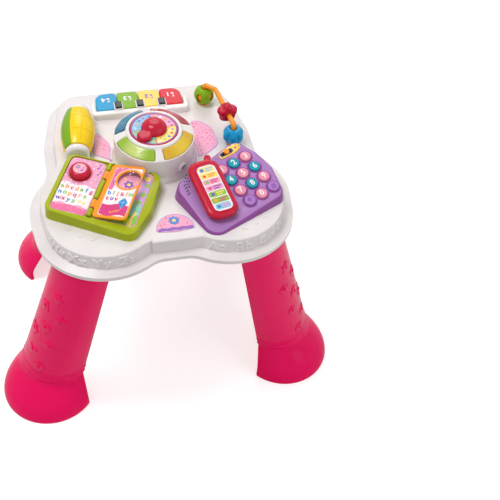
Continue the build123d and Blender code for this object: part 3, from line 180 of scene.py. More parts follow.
def moulded(name, colour, rough=0.24, texture_mm=1.2, bump=0.05, coat=0.12, wear=0.03, shine=0.3):
    """Injection-moulded polymer: tool-polished skin with faint flow mottling and orange peel."""
    made, tree = start_material(name)
    place = add_node(tree, "ShaderNodeTexCoord")
    mottling = add_node(tree, "ShaderNodeTexNoise",
                        {"Vector": (place, "Object"), "Scale": 38.0, "Detail": 3.0, "Roughness": 0.5})
    tone = add_node(tree, "ShaderNodeValToRGB", {"Fac": (mottling, "Fac")})
    base = linear(colour)
    for stop, share in zip(tone.color_ramp.elements, (1 - wear, 1 + wear * 0.6)):
        stop.color = tuple(min(1.0, c * share) for c in base[:3]) + (1.0,)
    tone.color_ramp.elements[0].position, tone.color_ramp.elements[1].position = 0.35, 0.65
    gloss = add_node(tree, "ShaderNodeMapRange",
                     {"Value": (mottling, "Fac"), "From Min": 0.3, "From Max": 0.7, "To Min": rough * 0.85,
                      "To Max": rough * 1.2})
    peel = add_node(tree, "ShaderNodeTexNoise", {"Vector": (place, "Object"), "Scale": 1000.0 / texture_mm,
                                                 "Detail": 2.0})
    relief = add_node(tree, "ShaderNodeBump", {"Height": (peel, "Fac"), "Strength": bump, "Distance": 0.0002})
    skin = add_node(tree, "ShaderNodeBsdfPrincipled", {
        "Base Color": (tone, "Color"), "Roughness": (gloss, "Result"), "Normal": (relief, "Normal"),
        "IOR": 1.5, "Specular IOR Level": shine, "Coat Weight": coat, "Coat Roughness": 0.1})
    add_node(tree, "ShaderNodeOutputMaterial", {"Surface": (skin, "BSDF")})
    return made


def metal(name, colour, rough, stripe_mm):
    """Drawn or plated steel: fine scratches along the part break the reflection."""
    made, tree = start_material(name)
    place = add_node(tree, "ShaderNodeTexCoord")
    scratches = add_node(tree, "ShaderNodeTexNoise",
                         {"Vector": (place, "Object"), "Scale": 1000.0 / stripe_mm, "Detail": 4.0})
    gloss = add_node(tree, "ShaderNodeMapRange", {"Value": (scratches, "Fac"), "To Min": rough * 0.7,
                                                  "To Max": rough * 1.3})
    skin = add_node(tree, "ShaderNodeBsdfPrincipled", {"Base Color": linear(colour), "Metallic": 1.0,
                                                       "Roughness": (gloss, "Result")})
    add_node(tree, "ShaderNodeOutputMaterial", {"Surface": (skin, "BSDF")})
    return made


# satin and gloss ABS, named for colour and finish
WHITE = moulded("abs_white_satin", "#EAE3E2", 0.33, 0.9, 0.06, coat=0.12)
WHITE_GLOSS = moulded("abs_white_gloss", "#F1ECEA", 0.2, 1.6, 0.04)
PINK_LEG = moulded("abs_pink_high_gloss", "#FF0064", 0.16, 2.2, 0.05, coat=0.02, shine=0.12)
LIME = moulded("abs_lime_gloss", "#A8B400", 0.22, shine=0.2)
ORCHID = moulded("abs_orchid_gloss", "#9850A0", 0.24, shine=0.2)
# paler copy of the orchid: painted light for the upper face of the phone base
ORCHID_PAINTED_LIT_TOP = moulded("abs_orchid_painted_lit_top", "#B080C0", 0.24, shine=0.2)
ORCHID_DEEP = moulded("abs_deep_orchid_gloss", "#9A55A8", 0.24)
BLUE = moulded("abs_blue_gloss", "#009CD0", 0.22, shine=0.2)
GREEN = moulded("abs_green_gloss", "#82B400", 0.22, shine=0.2)
YELLOW = moulded("abs_yellow_gloss", "#FFD400", 0.2)
CORN = moulded("abs_corn_yellow_gloss", "#FFD75A", 0.24)
RED = moulded("abs_red_gloss", "#DC0028", 0.2, shine=0.2)
CRIMSON = moulded("abs_crimson_gloss", "#C80A34", 0.19, coat=0.15, shine=0.22)
ORANGE = moulded("abs_orange_gloss", "#FF9A1E", 0.22)
BLACK = moulded("abs_black_gloss", "#1C181C", 0.2)


def lens_finish(name, node, middle, edge, reach_mm):
    """Tinted polycarbonate over a light bed: thin and pale in the middle, deeper at its thick edge."""
    made, tree = start_material(name)
    xs, ys, zs = zip(*NODES[node].bound_box)
    centre = tuple((min(c) + max(c)) / 2 for c in (xs, ys, zs))
    place = add_node(tree, "ShaderNodeTexCoord")
    away = add_node(tree, "ShaderNodeVectorMath", {0: (place, "Object"), 1: centre}, operation="DISTANCE")
    depth = add_node(tree, "ShaderNodeMapRange", {"Value": (away, "Value"), "From Min": 0.25 * reach_mm * MM,
                                                  "From Max": reach_mm * MM})
    tint = add_node(tree, "ShaderNodeValToRGB", {"Fac": (depth, "Result")})
    tint.color_ramp.elements[0].color, tint.color_ramp.elements[1].color = linear(middle), linear(edge)
    skin = add_node(tree, "ShaderNodeBsdfPrincipled", {
        "Base Color": (tint, "Color"), "Roughness": 0.12, "IOR": 1.58, "Specular IOR Level": 0.35,
        "Coat Weight": 0.3, "Coat Roughness": 0.06})
    add_node(tree, "ShaderNodeOutputMaterial", {"Surface": (skin, "BSDF")})
    return made


LENS_TEAL = lens_finish("polycarbonate_teal", "lens_teal", "#1487A8", "#006A8C", 22)
LENS_RED = lens_finish("polycarbonate_red", "lens_red", "#C41834", "#A80E28", 22)
LENS_GREEN = lens_finish("polycarbonate_green", "lens_green", "#D8E486", "#94BC1C", 21)
LENS_AMBER = lens_finish("polycarbonate_amber", "lens_amber", "#F0D030", "#DCAE00", 21)
# silicone keys are soft and nearly matt
KEY_PINK = moulded("silicone_pink", "#EE94AC", 0.42, 0.6, 0.08, coat=0.0)
KEY_TEAL = moulded("silicone_teal", "#129EB0", 0.42, 0.6, 0.08, coat=0.0)
KEY_VIOLET = moulded("silicone_violet", "#B07CC4", 0.42, 0.6, 0.08, coat=0.0)
GREY_MAT = moulded("silicone_grey", "#B4B6BA", 0.5, 0.6, 0.08, coat=0.0)
# printed polyester film, one for each ink; the black is used only as painted shade in the speaker holes
INK = {name: moulded("film_" + name, code, 0.3, 0.5, 0.02, coat=0.15, wear=0.02) for name, code in {
    "white": "#F6F0F2", "rose": "#F2A4C4", "pink": "#EE6FA2", "magenta": "#DC3C80", "lilac": "#C8A0D8",
    "violet": "#8A58B4", "sky": "#7CC8EC", "blue": "#2C86D0", "leaf": "#86C440", "mint": "#8CD4B8",
    "sun": "#FFE070", "orange": "#FFA040", "red": "#E83048", "navy": "#34508C", "black": "#2A2428"}.items()}
STEEL = metal("steel_drawn", "#C4C8CE", 0.25, 0.4)
NICKEL = metal("steel_nickel_plated", "#D2D0C8", 0.22, 0.6)
ZINC = metal("steel_zinc_plated", "#B4BAC4", 0.35, 0.5)
CELL = moulded("cell_sleeve_graphite", "#3A4656", 0.28, 1.0, 0.03)
LAMINATE = moulded("glass_laminate_green", "#2C7A48", 0.4, 0.7, 0.1)
PAPER_CONE = moulded("paper_cone_black", "#242428", 0.7, 0.5, 0.3, coat=0.0)

FINISH = {}
for finish, names in (
        (WHITE, "top_shell bottom_shell battery_door"),
        (WHITE_GLOSS, "centre_dome roller_cups piano_block"),
        (PINK_LEG, "leg_front_left leg_front_right leg_back_left leg_back_right"),
        (CRIMSON, "dial_disc spinner_cap bead_red bead_red_core book_button handset"),
        (ORANGE, "bead_rail bead_green_core turning_page slider_knob"),
        (GREEN, "roller_staves key_green bead_green"), (BLUE, "key_blue bead_blue"),
        (CORN, "key_yellow phone_label"), (YELLOW, "roller_drum"), (RED, "key_red"), (BLACK, "black_keys"),
        (LIME, "book_tray"), (ORCHID, "phone_base"), (GREY_MAT, "key_mat"),
        (LENS_TEAL, "lens_teal"), (LENS_RED, "lens_red"), (LENS_GREEN, "lens_green"),
        (LENS_AMBER, "lens_amber"), (STEEL, "roller_axle key_rod spine_pin"), (NICKEL, "battery_contacts"),
        (ZINC, "casing_screws"), (CELL, "batteries"), (PAPER_CONE, "speaker"), (LAMINATE, "main_board"),
        (INK["rose"], "book_prints deck_inlays"), (INK["white"], "page_print"),
        (KEY_PINK, "phone_key_1 phone_key_3 phone_key_5 phone_key_7 phone_key_9 phone_key_0"),
        (KEY_TEAL, "phone_key_2 phone_key_4 phone_key_6 phone_key_8"),
        (KEY_VIOLET, "phone_key_star phone_key_hash")):
    FINISH.update({name: finish for name in names.split()})
for name, part in NODES.items():
    part.data.materials.clear()
    part.data.materials.append(FINISH[name])


# ---- light and floor ---------------------------------------------------------
def lamp(name, size, place, aim, power):
    data = bpy.data.lights.new(name, "AREA")
    data.shape, data.size, data.energy = "DISK", size, power
    made = linked(name, data)
    made.location = place
    made.rotation_euler = (Vector(aim) - Vector(place)).to_track_quat("-Z", "Y").to_euler()


lamp("key_lamp", 0.8, (-0.7, 0.1, 2.2), (0, 0, 0.2), 19)
lamp("fill_lamp", 1.6, (1.4, -1.3, 1.3), (0, 0, 0.2), 7)
lamp("back_lamp", 1.2, (0.3, 1.5, 1.8), (0, 0, 0.3), 9)

world = bpy.data.worlds.new("studio")
bpy.context.scene.world = world
world.use_nodes = True
sky = world.node_tree
sky.nodes.clear()
rays = add_node(sky, "ShaderNodeLightPath")
seen = add_node(sky, "ShaderNodeMath", {0: (rays, "Is Camera Ray"), 1: (rays, "Is Glossy Ray")},
                operation="MAXIMUM")
seen = add_node(sky, "ShaderNodeMath", {0: (seen, 0), 1: (rays, "Is Transmission Ray")}, operation="MAXIMUM")
plain = add_node(sky, "ShaderNodeBackground", {"Color": (1, 1, 1, 1), "Strength": 0.46})
bright = add_node(sky, "ShaderNodeBackground", {"Color": (1, 1, 1, 1), "Strength": 1.0})
both = add_node(sky, "ShaderNodeMixShader", {"Fac": (seen, 0), 1: (plain, 0), 2: (bright, 0)})
add_node(sky, "ShaderNodeOutputWorld", {"Surface": (both, 0)})

floor_mesh = bpy.data.meshes.new("floor")
floor_mesh.from_pydata([(-6, -6, 0), (6, -6, 0), (6, 6, 0), (-6, 6, 0)], [], [(0, 1, 2, 3)])
floor_piece = linked("floor", floor_mesh)
sheet_white, tree = start_material("paper_backdrop_white")
rays = add_node(tree, "ShaderNodeLightPath")
matt = add_node(tree, "ShaderNodeBsdfDiffuse", {"Color": (0.8, 0.8, 0.8, 1)})
glow = add_node(tree, "ShaderNodeEmission", {"Color": (1, 1, 1, 1), "Strength": 0.55})
lit = add_node(tree, "ShaderNodeAddShader", {0: (matt, 0), 1: (glow, 0)})
pick = add_node(tree, "ShaderNodeMixShader", {"Fac": (rays, "Is Camera Ray"), 1: (matt, 0), 2: (lit, 0)})
add_node(tree, "ShaderNodeOutputMaterial", {"Surface": (pick, 0)})
floor_mesh.materials.append(sheet_white)
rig.stage(floor_piece)


# ---- mesh helpers ------------------------------------------------------------
def baked(made):
    """Plain mesh of an object with its modifiers applied."""
    return bpy.data.meshes.new_from_object(made.evaluated_get(bpy.context.evaluated_depsgraph_get()))


def piece(name, body, verts, faces, finish, face_finish=None, sharp=35.0, merge=True):
    """A mesh from millimetre points, smooth except at creases, riding on a body."""
    mesh = bpy.data.meshes.new(name)
    mesh.from_pydata([tuple(c * MM for c in v) for v in verts], [], faces)
    for one in (finish if isinstance(finish, (list, tuple)) else [finish]):
        mesh.materials.append(one)
    if face_finish:
        mesh.polygons.foreach_set("material_index", face_finish)
    made = linked(name, mesh)
    tidy(mesh, sharp, merge)
    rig.ride(made, body)
    return made


def tidy(mesh, sharp, merge=True):
    """Shades a mesh smooth, with creases where two faces meet at more than sharp degrees."""
    work = bmesh.new()
    work.from_mesh(mesh)
    if merge:
        bmesh.ops.remove_doubles(work, verts=work.verts, dist=2e-6)
        bmesh.ops.recalc_face_normals(work, faces=work.faces)
    for face in work.faces:
        face.smooth = True
    for edge in work.edges:
        if len(edge.link_faces) == 2:
            edge.smooth = edge.calc_face_angle(0) < radians(sharp)
    work.to_mesh(mesh)
    work.free()


def merged(node, flat=None):
    """Copy of a CAD piece with its loose triangles joined, and those of one flat face too where asked."""
    mesh = NODES[node].data.copy()
    work = bmesh.new()
    work.from_mesh(mesh)
    bmesh.ops.remove_doubles(work, verts=work.verts, dist=5e-6)
    if flat:
        bmesh.ops.dissolve_limit(work, angle_limit=radians(flat), verts=work.verts, edges=work.edges)
    work.to_mesh(mesh)
    work.free()
    return mesh


def finished(made, name, body, sharp):
    """Turns live modifiers into a plain mesh that rides on a body."""
    result = baked(made)
    made.modifiers.clear()
    made.data = result
    made.name = result.name = name
    tidy(result, sharp, merge=False)
    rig.ride(made, body)
    return made


def eased(node, width, sharp=30.0, segments=3):
    """The CAD piece with its sharp edges rounded as a mould leaves them."""
    made = linked(node + "_eased", merged(node, 0.6))
    bevel = made.modifiers.new("edges", "BEVEL")
    bevel.limit_method, bevel.angle_limit = "ANGLE", radians(sharp)
    bevel.width, bevel.segments, bevel.use_clamp_overlap = width * MM, segments, True
    finished(made, node + "_eased", NODES[node]["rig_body"], 40.0)
    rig.replaces(made, node)
    return made


def softened(node, voxel, rounds, sharp=60.0):
    """The CAD piece with every edge and corner flowing as on a soft-edged moulding."""
    made = linked(node + "_soft", merged(node))
    remesh = made.modifiers.new("skin", "REMESH")
    remesh.mode, remesh.voxel_size = "VOXEL", voxel * MM
    smooth = made.modifiers.new("flow", "SMOOTH")
    smooth.factor, smooth.iterations = 0.5, rounds
    finished(made, node + "_soft", NODES[node]["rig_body"], sharp)
    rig.replaces(made, node)
    return made


# ---- places ------------------------------------------------------------------
def spot(origin, x_dir, z_dir):
    """Local frame in millimetres."""
    x, z = Vector(x_dir).normalized(), Vector(z_dir).normalized()
    return Matrix.Translation(Vector(origin)) @ Matrix((x, z.cross(x), z)).transposed().to_4x4()


def tilted(centre, turn, tilt):
    t, e = radians(turn), radians(tilt)
    return spot(centre, (cos(t), sin(t) * cos(e), sin(t) * sin(e)), (0, -sin(e), cos(e)))


DECK_Z = 314.0
DECK = Matrix.Translation((0, 0, DECK_Z))
BOOK = tilted((-78.5, -69.0, 330.0), -25.8, 5)
PHONE = tilted((101.4, -70.1, 332.0), 26.6, 10)
LEAF = BOOK @ Matrix.Translation((0, 0, 1.4)) @ Matrix.Rotation(radians(-11), 4, "Y")
HAND = PHONE @ Matrix.Translation((-49.7, -1.0, 0)) @ Matrix.Rotation(radians(-15.7), 4, "Z")
BODY = {name: part["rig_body"] for name, part in NODES.items()}


# ---- outlines ----------------------------------------------------------------
def moved(points, x, y, turn):
    """Outline turned about its middle, in degrees, and moved."""
    t = radians(turn)
    return [(x + a * cos(t) - b * sin(t), y + a * sin(t) + b * cos(t)) for a, b in points]


def disc(x, y, r, n=24, squash=1.0, turn=0.0):
    ring = [(r * cos(2 * pi * i / n), r * squash * sin(2 * pi * i / n)) for i in range(n)]
    return moved(ring, x, y, turn)


def petalled(x, y, r, petals=5, depth=0.22, turn=0.0, n=40):
    out = []
    for i in range(n):
        at, reach = 2 * pi * i / n + turn, r * (1 + depth * cos(petals * 2 * pi * i / n))
        out.append((x + reach * cos(at), y + reach * sin(at)))
    return out


def star(x, y, r, points=5, inner=0.45, turn=90.0):
    out = []
    for i in range(2 * points):
        at, reach = radians(turn + 180 * i / points), r * (inner if i % 2 else 1)
        out.append((x + reach * cos(at), y + reach * sin(at)))
    return out


def heart(x, y, r, turn=0.0, n=28):
    out, unit = [], r * 0.062
    for i in range(n):
        a = 2 * pi * i / n
        out.append((unit * 16 * sin(a) ** 3,
                    unit * (13 * cos(a) - 5 * cos(2 * a) - 2 * cos(3 * a) - cos(4 * a))))
    return moved(out, x, y, turn)[::-1]


def box(x, y, w, h, r, turn=0.0, n=5):
    out = []
    for k, (sx, sy) in enumerate(((1, -1), (1, 1), (-1, 1), (-1, -1))):
        for i in range(n + 1):
            a = radians(-90 + 90 * k + 90 * i / n)
            out.append((sx * (w / 2 - r) + r * cos(a), sy * (h / 2 - r) + r * sin(a)))
    return moved(out, x, y, turn)


def leaf(x, y, length, width, turn=0.0, n=12):
    side = [(length * (i / n - 0.5), -width / 2 * sin(pi * i / n)) for i in range(n + 1)]
    return moved(side + [(a, -b) for a, b in side[-2:0:-1]], x, y, turn)


def band(x0, x1, low, high, wave=1.5, period=22.0, n=30):
    """Strip with wavy long edges."""
    xs = [x0 + (x1 - x0) * i / n for i in range(n + 1)]
    return [(x, low + wave * sin(2 * pi * x / period)) for x in xs] + \
           [(x, high + wave * sin(2 * pi * x / period + 1)) for x in reversed(xs)]


def sector(r0, r1, start, end, n=16):
    turn = [radians(start + (end - start) * i / n) for i in range(n + 1)]
    return [(r1 * cos(a), r1 * sin(a)) for a in turn] + [(r0 * cos(a), r0 * sin(a)) for a in reversed(turn)]


def rounded(points, r, n=5):
    """Closed outline with every corner rounded."""
    out = []
    for i, p in enumerate(points):
        a, b, c = Vector(points[i - 1]), Vector(p), Vector(points[(i + 1) % len(points)])
        u, v = (a - b), (c - b)
        cut = min(r, u.length * 0.45, v.length * 0.45)
        start, end = b + u.normalized() * cut, b + v.normalized() * cut
        for k in range(n + 1):
            s = k / n
            q = start * (1 - s) ** 2 + b * 2 * s * (1 - s) + end * s ** 2
            out.append((q.x, q.y))
    return out


# ---- printed and raised shapes -----------------------------------------------
def on(frame_at, low, high, *outlines):
    """Motifs for printed(): outlines that share a frame and two heights."""
    return [(frame_at, outline, low, high) for outline in outlines]


def placed_at(frame_at, points):
    return [tuple(frame_at @ Vector(p)) for p in points]


def printed(name, body, motifs, finish, sharp=35.0):
    """Thin solid shapes, each given as (frame, outline, low, high)."""
    verts, faces = [], []
    for frame_at, outline, low, high in motifs:
        start, n = len(verts), len(outline)
        for z in (low, high):
            verts += placed_at(frame_at, [(x, y, z) for x, y in outline])
        faces.append(tuple(start + n + i for i in range(n)))
        faces.append(tuple(start + n - 1 - i for i in range(n)))
        faces += [(start + i, start + (i + 1) % n, start + n + (i + 1) % n, start + n + i) for i in range(n)]
    return piece(name, body, verts, faces, finish, sharp=sharp, merge=False)


def filled(name, loops):
    """Flat filled curve bounded by closed loops."""
    data = bpy.data.curves.new(name, "CURVE")
    data.dimensions, data.fill_mode = "2D", "BOTH"
    for loop in loops:
        line = data.splines.new("POLY")
        line.points.add(len(loop) - 1)
        for point, (x, y) in zip(line.points, loop):
            point.co = (x * MM, y * MM, 0, 1)
        line.use_cyclic_u = True
    return data


def meshed(name, data):
    """Mesh of a curve or lettering."""
    shape = linked(name, data)
    mesh = baked(shape)
    bpy.data.objects.remove(shape)
    return mesh


def shift(mesh, frame_at):
    """Moves a mesh into a frame that is given in millimetres."""
    move = frame_at.copy()
    move.translation *= MM
    mesh.transform(move)


def cut_sheet(name, body, frame_at, loops, low, high, finish, soft=0.0):
    """Sheet with openings, lying in a frame from low to high."""
    data = filled(name, loops)
    data.extrude, data.bevel_depth, data.offset = ((high - low) / 2 - soft) * MM, soft * MM, -soft * MM
    data.bevel_resolution = 2
    return laid(data, name, body, frame_at @ Matrix.Translation((0, 0, (low + high) / 2)), finish)


def laid(data, name, body, frame_at, finish):
    """A filled curve or lettering made a mesh in its place."""
    mesh = meshed(name, data)
    shift(mesh, frame_at)
    mesh.materials.clear()
    mesh.materials.append(finish)
    tidy(mesh, 35.0)
    made = linked(name, mesh)
    if body:
        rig.ride(made, body)
    return made


def lettering(name, body, glyphs, low, high, finish, soft=0.0, bold=0.0):
    """Plain letters or digits, each given as (frame, text, x, y, height, turn), joined to one piece."""
    work = bmesh.new()
    for frame_at, text, x, y, height, turn in glyphs:
        data = bpy.data.curves.new(name, "FONT")
        data.body, data.size = text, height / 0.70 * MM
        data.align_x, data.align_y = "CENTER", "CENTER"
        data.extrude, data.bevel_depth = ((high - low) / 2 - soft) * MM, soft * MM
        data.offset, data.resolution_u = (bold - soft) * MM, 3
        spun = Matrix.Rotation(radians(turn), 4, "Z")
        glyph = laid(data, name, None, frame_at @ Matrix.Translation((x, y, (low + high) / 2)) @ spun, finish)
        work.from_mesh(glyph.data)
        bpy.data.meshes.remove(glyph.data)
    mesh = bpy.data.meshes.new(name)
    work.to_mesh(mesh)
    work.free()
    mesh.materials.append(finish)
    tidy(mesh, 35.0, merge=False)
    made = linked(name, mesh)
    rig.ride(made, body)
    return made


def turned(profile, around):
    """Points and faces of a turned form: a profile of (radius, height) from its lower end to its upper."""
    verts, faces, rings = [], [], []
    for r, h in profile:
        count = around if r else 1
        rings.append(list(range(len(verts), len(verts) + count)))
        verts += [(r * cos(2 * pi * i / around), r * sin(2 * pi * i / around), h) for i in range(count)]
    for a, b in zip(rings, rings[1:]):
        for i in range(around):
            j = (i + 1) % around
            loop = [a[i % len(a)], a[j % len(a)], b[j % len(b)], b[i % len(b)]]
            faces.append(tuple(dict.fromkeys(loop)))
    return verts, faces


def lathed(name, body, frame_at, profile, finish, around=64, sharp=40.0):
    """A turned form riding on a body."""
    verts, faces = turned(profile, around)
    return piece(name, body, placed_at(frame_at, verts), faces, finish, sharp=sharp)


# ---- repeats by Geometry Nodes -----------------------------------------------
def node_tree(name, inputs):
    """Geometry tree with named inputs; returns it with its input and output nodes."""
    tree = bpy.data.node_groups.new(name, "GeometryNodeTree")
    tree.interface.new_socket("Geometry", in_out="INPUT", socket_type="NodeSocketGeometry")
    for label, kind in inputs:
        tree.interface.new_socket(label, in_out="INPUT", socket_type="NodeSocket" + kind)
    tree.interface.new_socket("Geometry", in_out="OUTPUT", socket_type="NodeSocketGeometry")
    return tree, add_node(tree, "NodeGroupInput"), add_node(tree, "NodeGroupOutput")


def end_tree(tree, given, result, instances):
    real = add_node(tree, "GeometryNodeRealizeInstances", {"Geometry": (instances, "Instances")})
    dressed = add_node(tree, "GeometryNodeSetMaterial", {"Geometry": (real, "Geometry"),
                                                         "Material": (given, "Finish")})
    tree.links.new(dressed.outputs["Geometry"], result.inputs["Geometry"])


def set_inputs(modifier, values):
    for socket in modifier.node_group.interface.items_tree:
        if socket.in_out == "INPUT" and socket.name in values:
            modifier[socket.identifier] = values[socket.name]


# one shape on every point, turned and sized by the point's own values
ON_POINTS, given, result = node_tree("shape_on_points", [("Shape", "Object"), ("Size", "Float"),
                                                         ("Finish", "Material")])
shape = add_node(ON_POINTS, "GeometryNodeObjectInfo", {"Object": (given, "Shape")},
                 transform_space="ORIGINAL")
turn = add_node(ON_POINTS, "GeometryNodeInputNamedAttribute", {"Name": "turn"}, data_type="FLOAT_VECTOR")
euler = add_node(ON_POINTS, "FunctionNodeEulerToRotation", {"Euler": (turn, "Attribute")})
grow = add_node(ON_POINTS, "GeometryNodeInputNamedAttribute", {"Name": "grow"}, data_type="FLOAT")
size = add_node(ON_POINTS, "ShaderNodeMath", {0: (grow, "Attribute"), 1: (given, "Size")},
                operation="MULTIPLY")
placed = add_node(ON_POINTS, "GeometryNodeInstanceOnPoints", {
    "Points": (given, "Geometry"), "Instance": (shape, "Geometry"), "Rotation": (euler, "Rotation"),
    "Scale": (size, "Value")})
end_tree(ON_POINTS, given, result, placed)

# small shapes strewn over a sheet, each with its own turn and size
STREWN, given, result = node_tree("shapes_strewn",
                                  [("Shape", "Object"), ("Spacing", "Float"), ("Seed", "Int"),
                                   ("Finish", "Material")])
points = add_node(STREWN, "GeometryNodeDistributePointsOnFaces", {
    "Mesh": (given, "Geometry"), "Distance Min": (given, "Spacing"), "Density Max": 90000.0,
    "Seed": (given, "Seed")}, distribute_method="POISSON")
shape = add_node(STREWN, "GeometryNodeObjectInfo", {"Object": (given, "Shape")}, transform_space="ORIGINAL")
spin = add_node(STREWN, "FunctionNodeRandomValue", {"Min": (0.0, 0.0, 0.0), "Max": (0.0, 0.0, 6.28),
                                                    "Seed": (given, "Seed")}, data_type="FLOAT_VECTOR")
spread = add_node(STREWN, "FunctionNodeRandomValue", {2: 0.7, 3: 1.2, "Seed": (given, "Seed")},
                  data_type="FLOAT")
euler = add_node(STREWN, "FunctionNodeEulerToRotation", {"Euler": (spin, 0)})
placed = add_node(STREWN, "GeometryNodeInstanceOnPoints", {
    "Points": (points, "Points"), "Instance": (shape, "Geometry"), "Rotation": (euler, "Rotation"),
    "Scale": (spread, 1)})
end_tree(STREWN, given, result, placed)


def template(verts, faces):
    mesh = bpy.data.meshes.new("template")
    mesh.from_pydata([tuple(c * MM for c in v) for v in verts], [], faces)
    tidy(mesh, 35.0)
    return bpy.data.objects.new("template", mesh)


def slab(outline, low, high):
    n = len(outline)
    verts = [(x, y, z) for z in (low, high) for x, y in outline]
    faces = [tuple(range(n, 2 * n)), tuple(reversed(range(n)))]
    return verts, faces + [(i, (i + 1) % n, n + (i + 1) % n, n + i) for i in range(n)]


def low_dome(radius, height, sunk=0.6, around=20, ring=0.0):
    """Small rounded stud; ring above 0 leaves a dimple of that share in its top."""
    profile = [(radius, -sunk), (radius, height * 0.3), (radius * 0.9, height * 0.75), (radius * 0.7, height)]
    profile += [(radius * ring, height), (radius * ring * 0.8, height * 0.45),
                (0, height * 0.4)] if ring else [(radius * 0.35, height * 1.1), (0, height * 1.12)]
    return turned([(0, -sunk)] + profile, around)


def repeated(made, name, body, tree, shape_mesh, values):
    """Lets a node tree put a shape on an object's points or faces."""
    shape = template(*shape_mesh)
    modifier = made.modifiers.new("repeat", "NODES")
    modifier.node_group = tree
    set_inputs(modifier, {"Shape": shape, **values})
    finished(made, name, body, 35.0)
    bpy.data.objects.remove(shape)
    return made


def on_points(name, body, spots, shape_mesh, finish, size=1.0):
    """Repeats a shape: spots are (place, outward direction, spin in degrees, grow)."""
    mesh = bpy.data.meshes.new(name)
    mesh.from_pydata([tuple(Vector(s[0]) * MM) for s in spots], [], [])
    turns, grows = [], []
    for _, outward, spin, grow in spots:
        facing = Vector(outward).normalized().to_track_quat("Z", "Y").to_matrix()
        turns += list((facing @ Matrix.Rotation(radians(spin), 3, "Z")).to_euler())
        grows.append(grow)
    mesh.attributes.new("turn", "FLOAT_VECTOR", "POINT").data.foreach_set("vector", turns)
    mesh.attributes.new("grow", "FLOAT", "POINT").data.foreach_set("value", grows)
    return repeated(linked(name, mesh), name, body, ON_POINTS, shape_mesh, {"Size": size, "Finish": finish})


def strewn(name, body, frame_at, loops, spacing, shape_mesh, finish, seed):
    """Strews a small printed shape over the part of a frame inside the loops."""
    made = linked(name, meshed(name, filled(name, loops)))
    repeated(made, name, body, STREWN, shape_mesh, {"Spacing": spacing * MM, "Seed": seed, "Finish": finish})
    shift(made.data, frame_at)
    return made


# ---- panel housing -----------------------------------------------------------
eased("top_shell", 0.45)
eased("bottom_shell", 0.6)
eased("battery_door", 0.4)

# raised pairs of letters on the side wall of the two front lobes, in the brighter gloss white as a painted highlight
# against the shaded wall
LOBE_X, LOBE_Y, LOBE_WALL_R, LETTER_Z = 77.4, -92, 72.1, 303.0
WALL_LETTERS = []
for side, start, step, text in ((1, -117, 12.6, "AaBbCcDd"), (-1, -153, 12.0, "WwXxYyZz")):
    for i, letter in enumerate(text):
        at = radians(start + step * i + (1.5 if i % 2 == 0 else -1.5))
        outward = Vector((cos(at), sin(at), 0.1))
        origin = (side * LOBE_X + LOBE_WALL_R * cos(at), LOBE_Y + LOBE_WALL_R * sin(at), LETTER_Z)
        WALL_LETTERS.append((spot(origin, (-sin(at), cos(at), 0), outward), letter, 0, 0, 12.0, 0))
lettering("wall_letters", BODY["top_shell"], WALL_LETTERS, -0.6, 1.2, WHITE_GLOSS, soft=0.3, bold=0.5)

# raised chevrons beside the book and the telephone
CHEVRON = [(-3.2, -3.6), (-0.9, -3.6), (2.8, 0), (-0.9, 3.6), (-3.2, 3.6), (0.5, 0)]
chevrons = []
for x, y, turn in ((-121.6, -112.9, -45), (-107.5, -125.1, -35), (-93.6, -132.3, -22),
                   (86.6, -145.0, 200), (101.9, -139.2, 212), (116.0, -130.0, 222)):
    at = DECK @ Matrix.Translation((x, y, 0)) @ Matrix.Rotation(radians(turn), 4, "Z")
    chevrons.append((at, CHEVRON, -0.5, 0.8))
printed("deck_chevrons", BODY["top_shell"], chevrons, WHITE)


# ---- legs --------------------------------------------------------------------
# (x, y) of a leg's middle at the panel, at the neck and at the floor; -1 is front, 1 is back
LEG_AT = {-1: ((107.7, -139.0), (163.0, -113.0), (173.5, -121.0)),
          1: ((84.0, 94.0), (130.0, 112.0), (138.0, 121.0))}
# degrees from the x axis to the way a left leg's outer face looks; the right legs mirror it
FACING = 131.0
NECK_Z, PANEL_Z, FLARE_Z = 50, 287, 54
LEG_SKIN, PLUG_SHIFT = 3.5, 13   # wall thickness; the plug sits this far toward the open back
# half width and depth: at the neck and what the top is less, above the foot and what the foot adds
SHAFT_WIDTH, SHAFT_DEPTH = (48, 10), (44, 16)
FLARE_WIDTH, FLARE_DEPTH, FLARE_BOW = (47.8, 18.2), (43.7, 22.3), 1.45
# share of a raised shape's outline and lift from the leg, from its sunk foot to its top
PILLOW = ((1, -1.4), (1, 0.3), (0.95, 0.9), (0.82, 1.2))


def leg_frame(side, end, centre, z):
    angle = radians((FACING if side < 0 else 180 - FACING) * end)
    return spot((side * centre[0], centre[1], z), (sin(angle), -cos(angle), 0), (0, 0, 1))


def leg_shaft(end, z):
    """Centre, half width and depth of a leg's straight shaft at a height."""
    share = (z - NECK_Z) / (PANEL_Z - NECK_Z)
    centre = tuple(n + (t - n) * share for n, t in zip(LEG_AT[end][1], LEG_AT[end][0]))
    return centre, SHAFT_WIDTH[0] - SHAFT_WIDTH[1] * share, SHAFT_DEPTH[0] - SHAFT_DEPTH[1] * share


def c_section(a, b, wall, n=40, lip=6):
    """Closed outline of the open-backed section, its two free edges rounded."""
    outer = [(a * cos(pi * i / n), b * sin(pi * i / n)) for i in range(n + 1)]
    inner = [((a - wall) * cos(pi * i / n), (b - wall) * sin(pi * i / n)) for i in range(n, -1, -1)]
    turn = [pi * i / lip for i in range(1, lip)]
    left = [(-a + wall / 2 - wall / 2 * cos(t), -wall / 2 * sin(t)) for t in turn]
    right = [(a - wall / 2 - wall / 2 * cos(t), -wall / 2 * sin(t)) for t in turn]
    return outer + left + inner + right


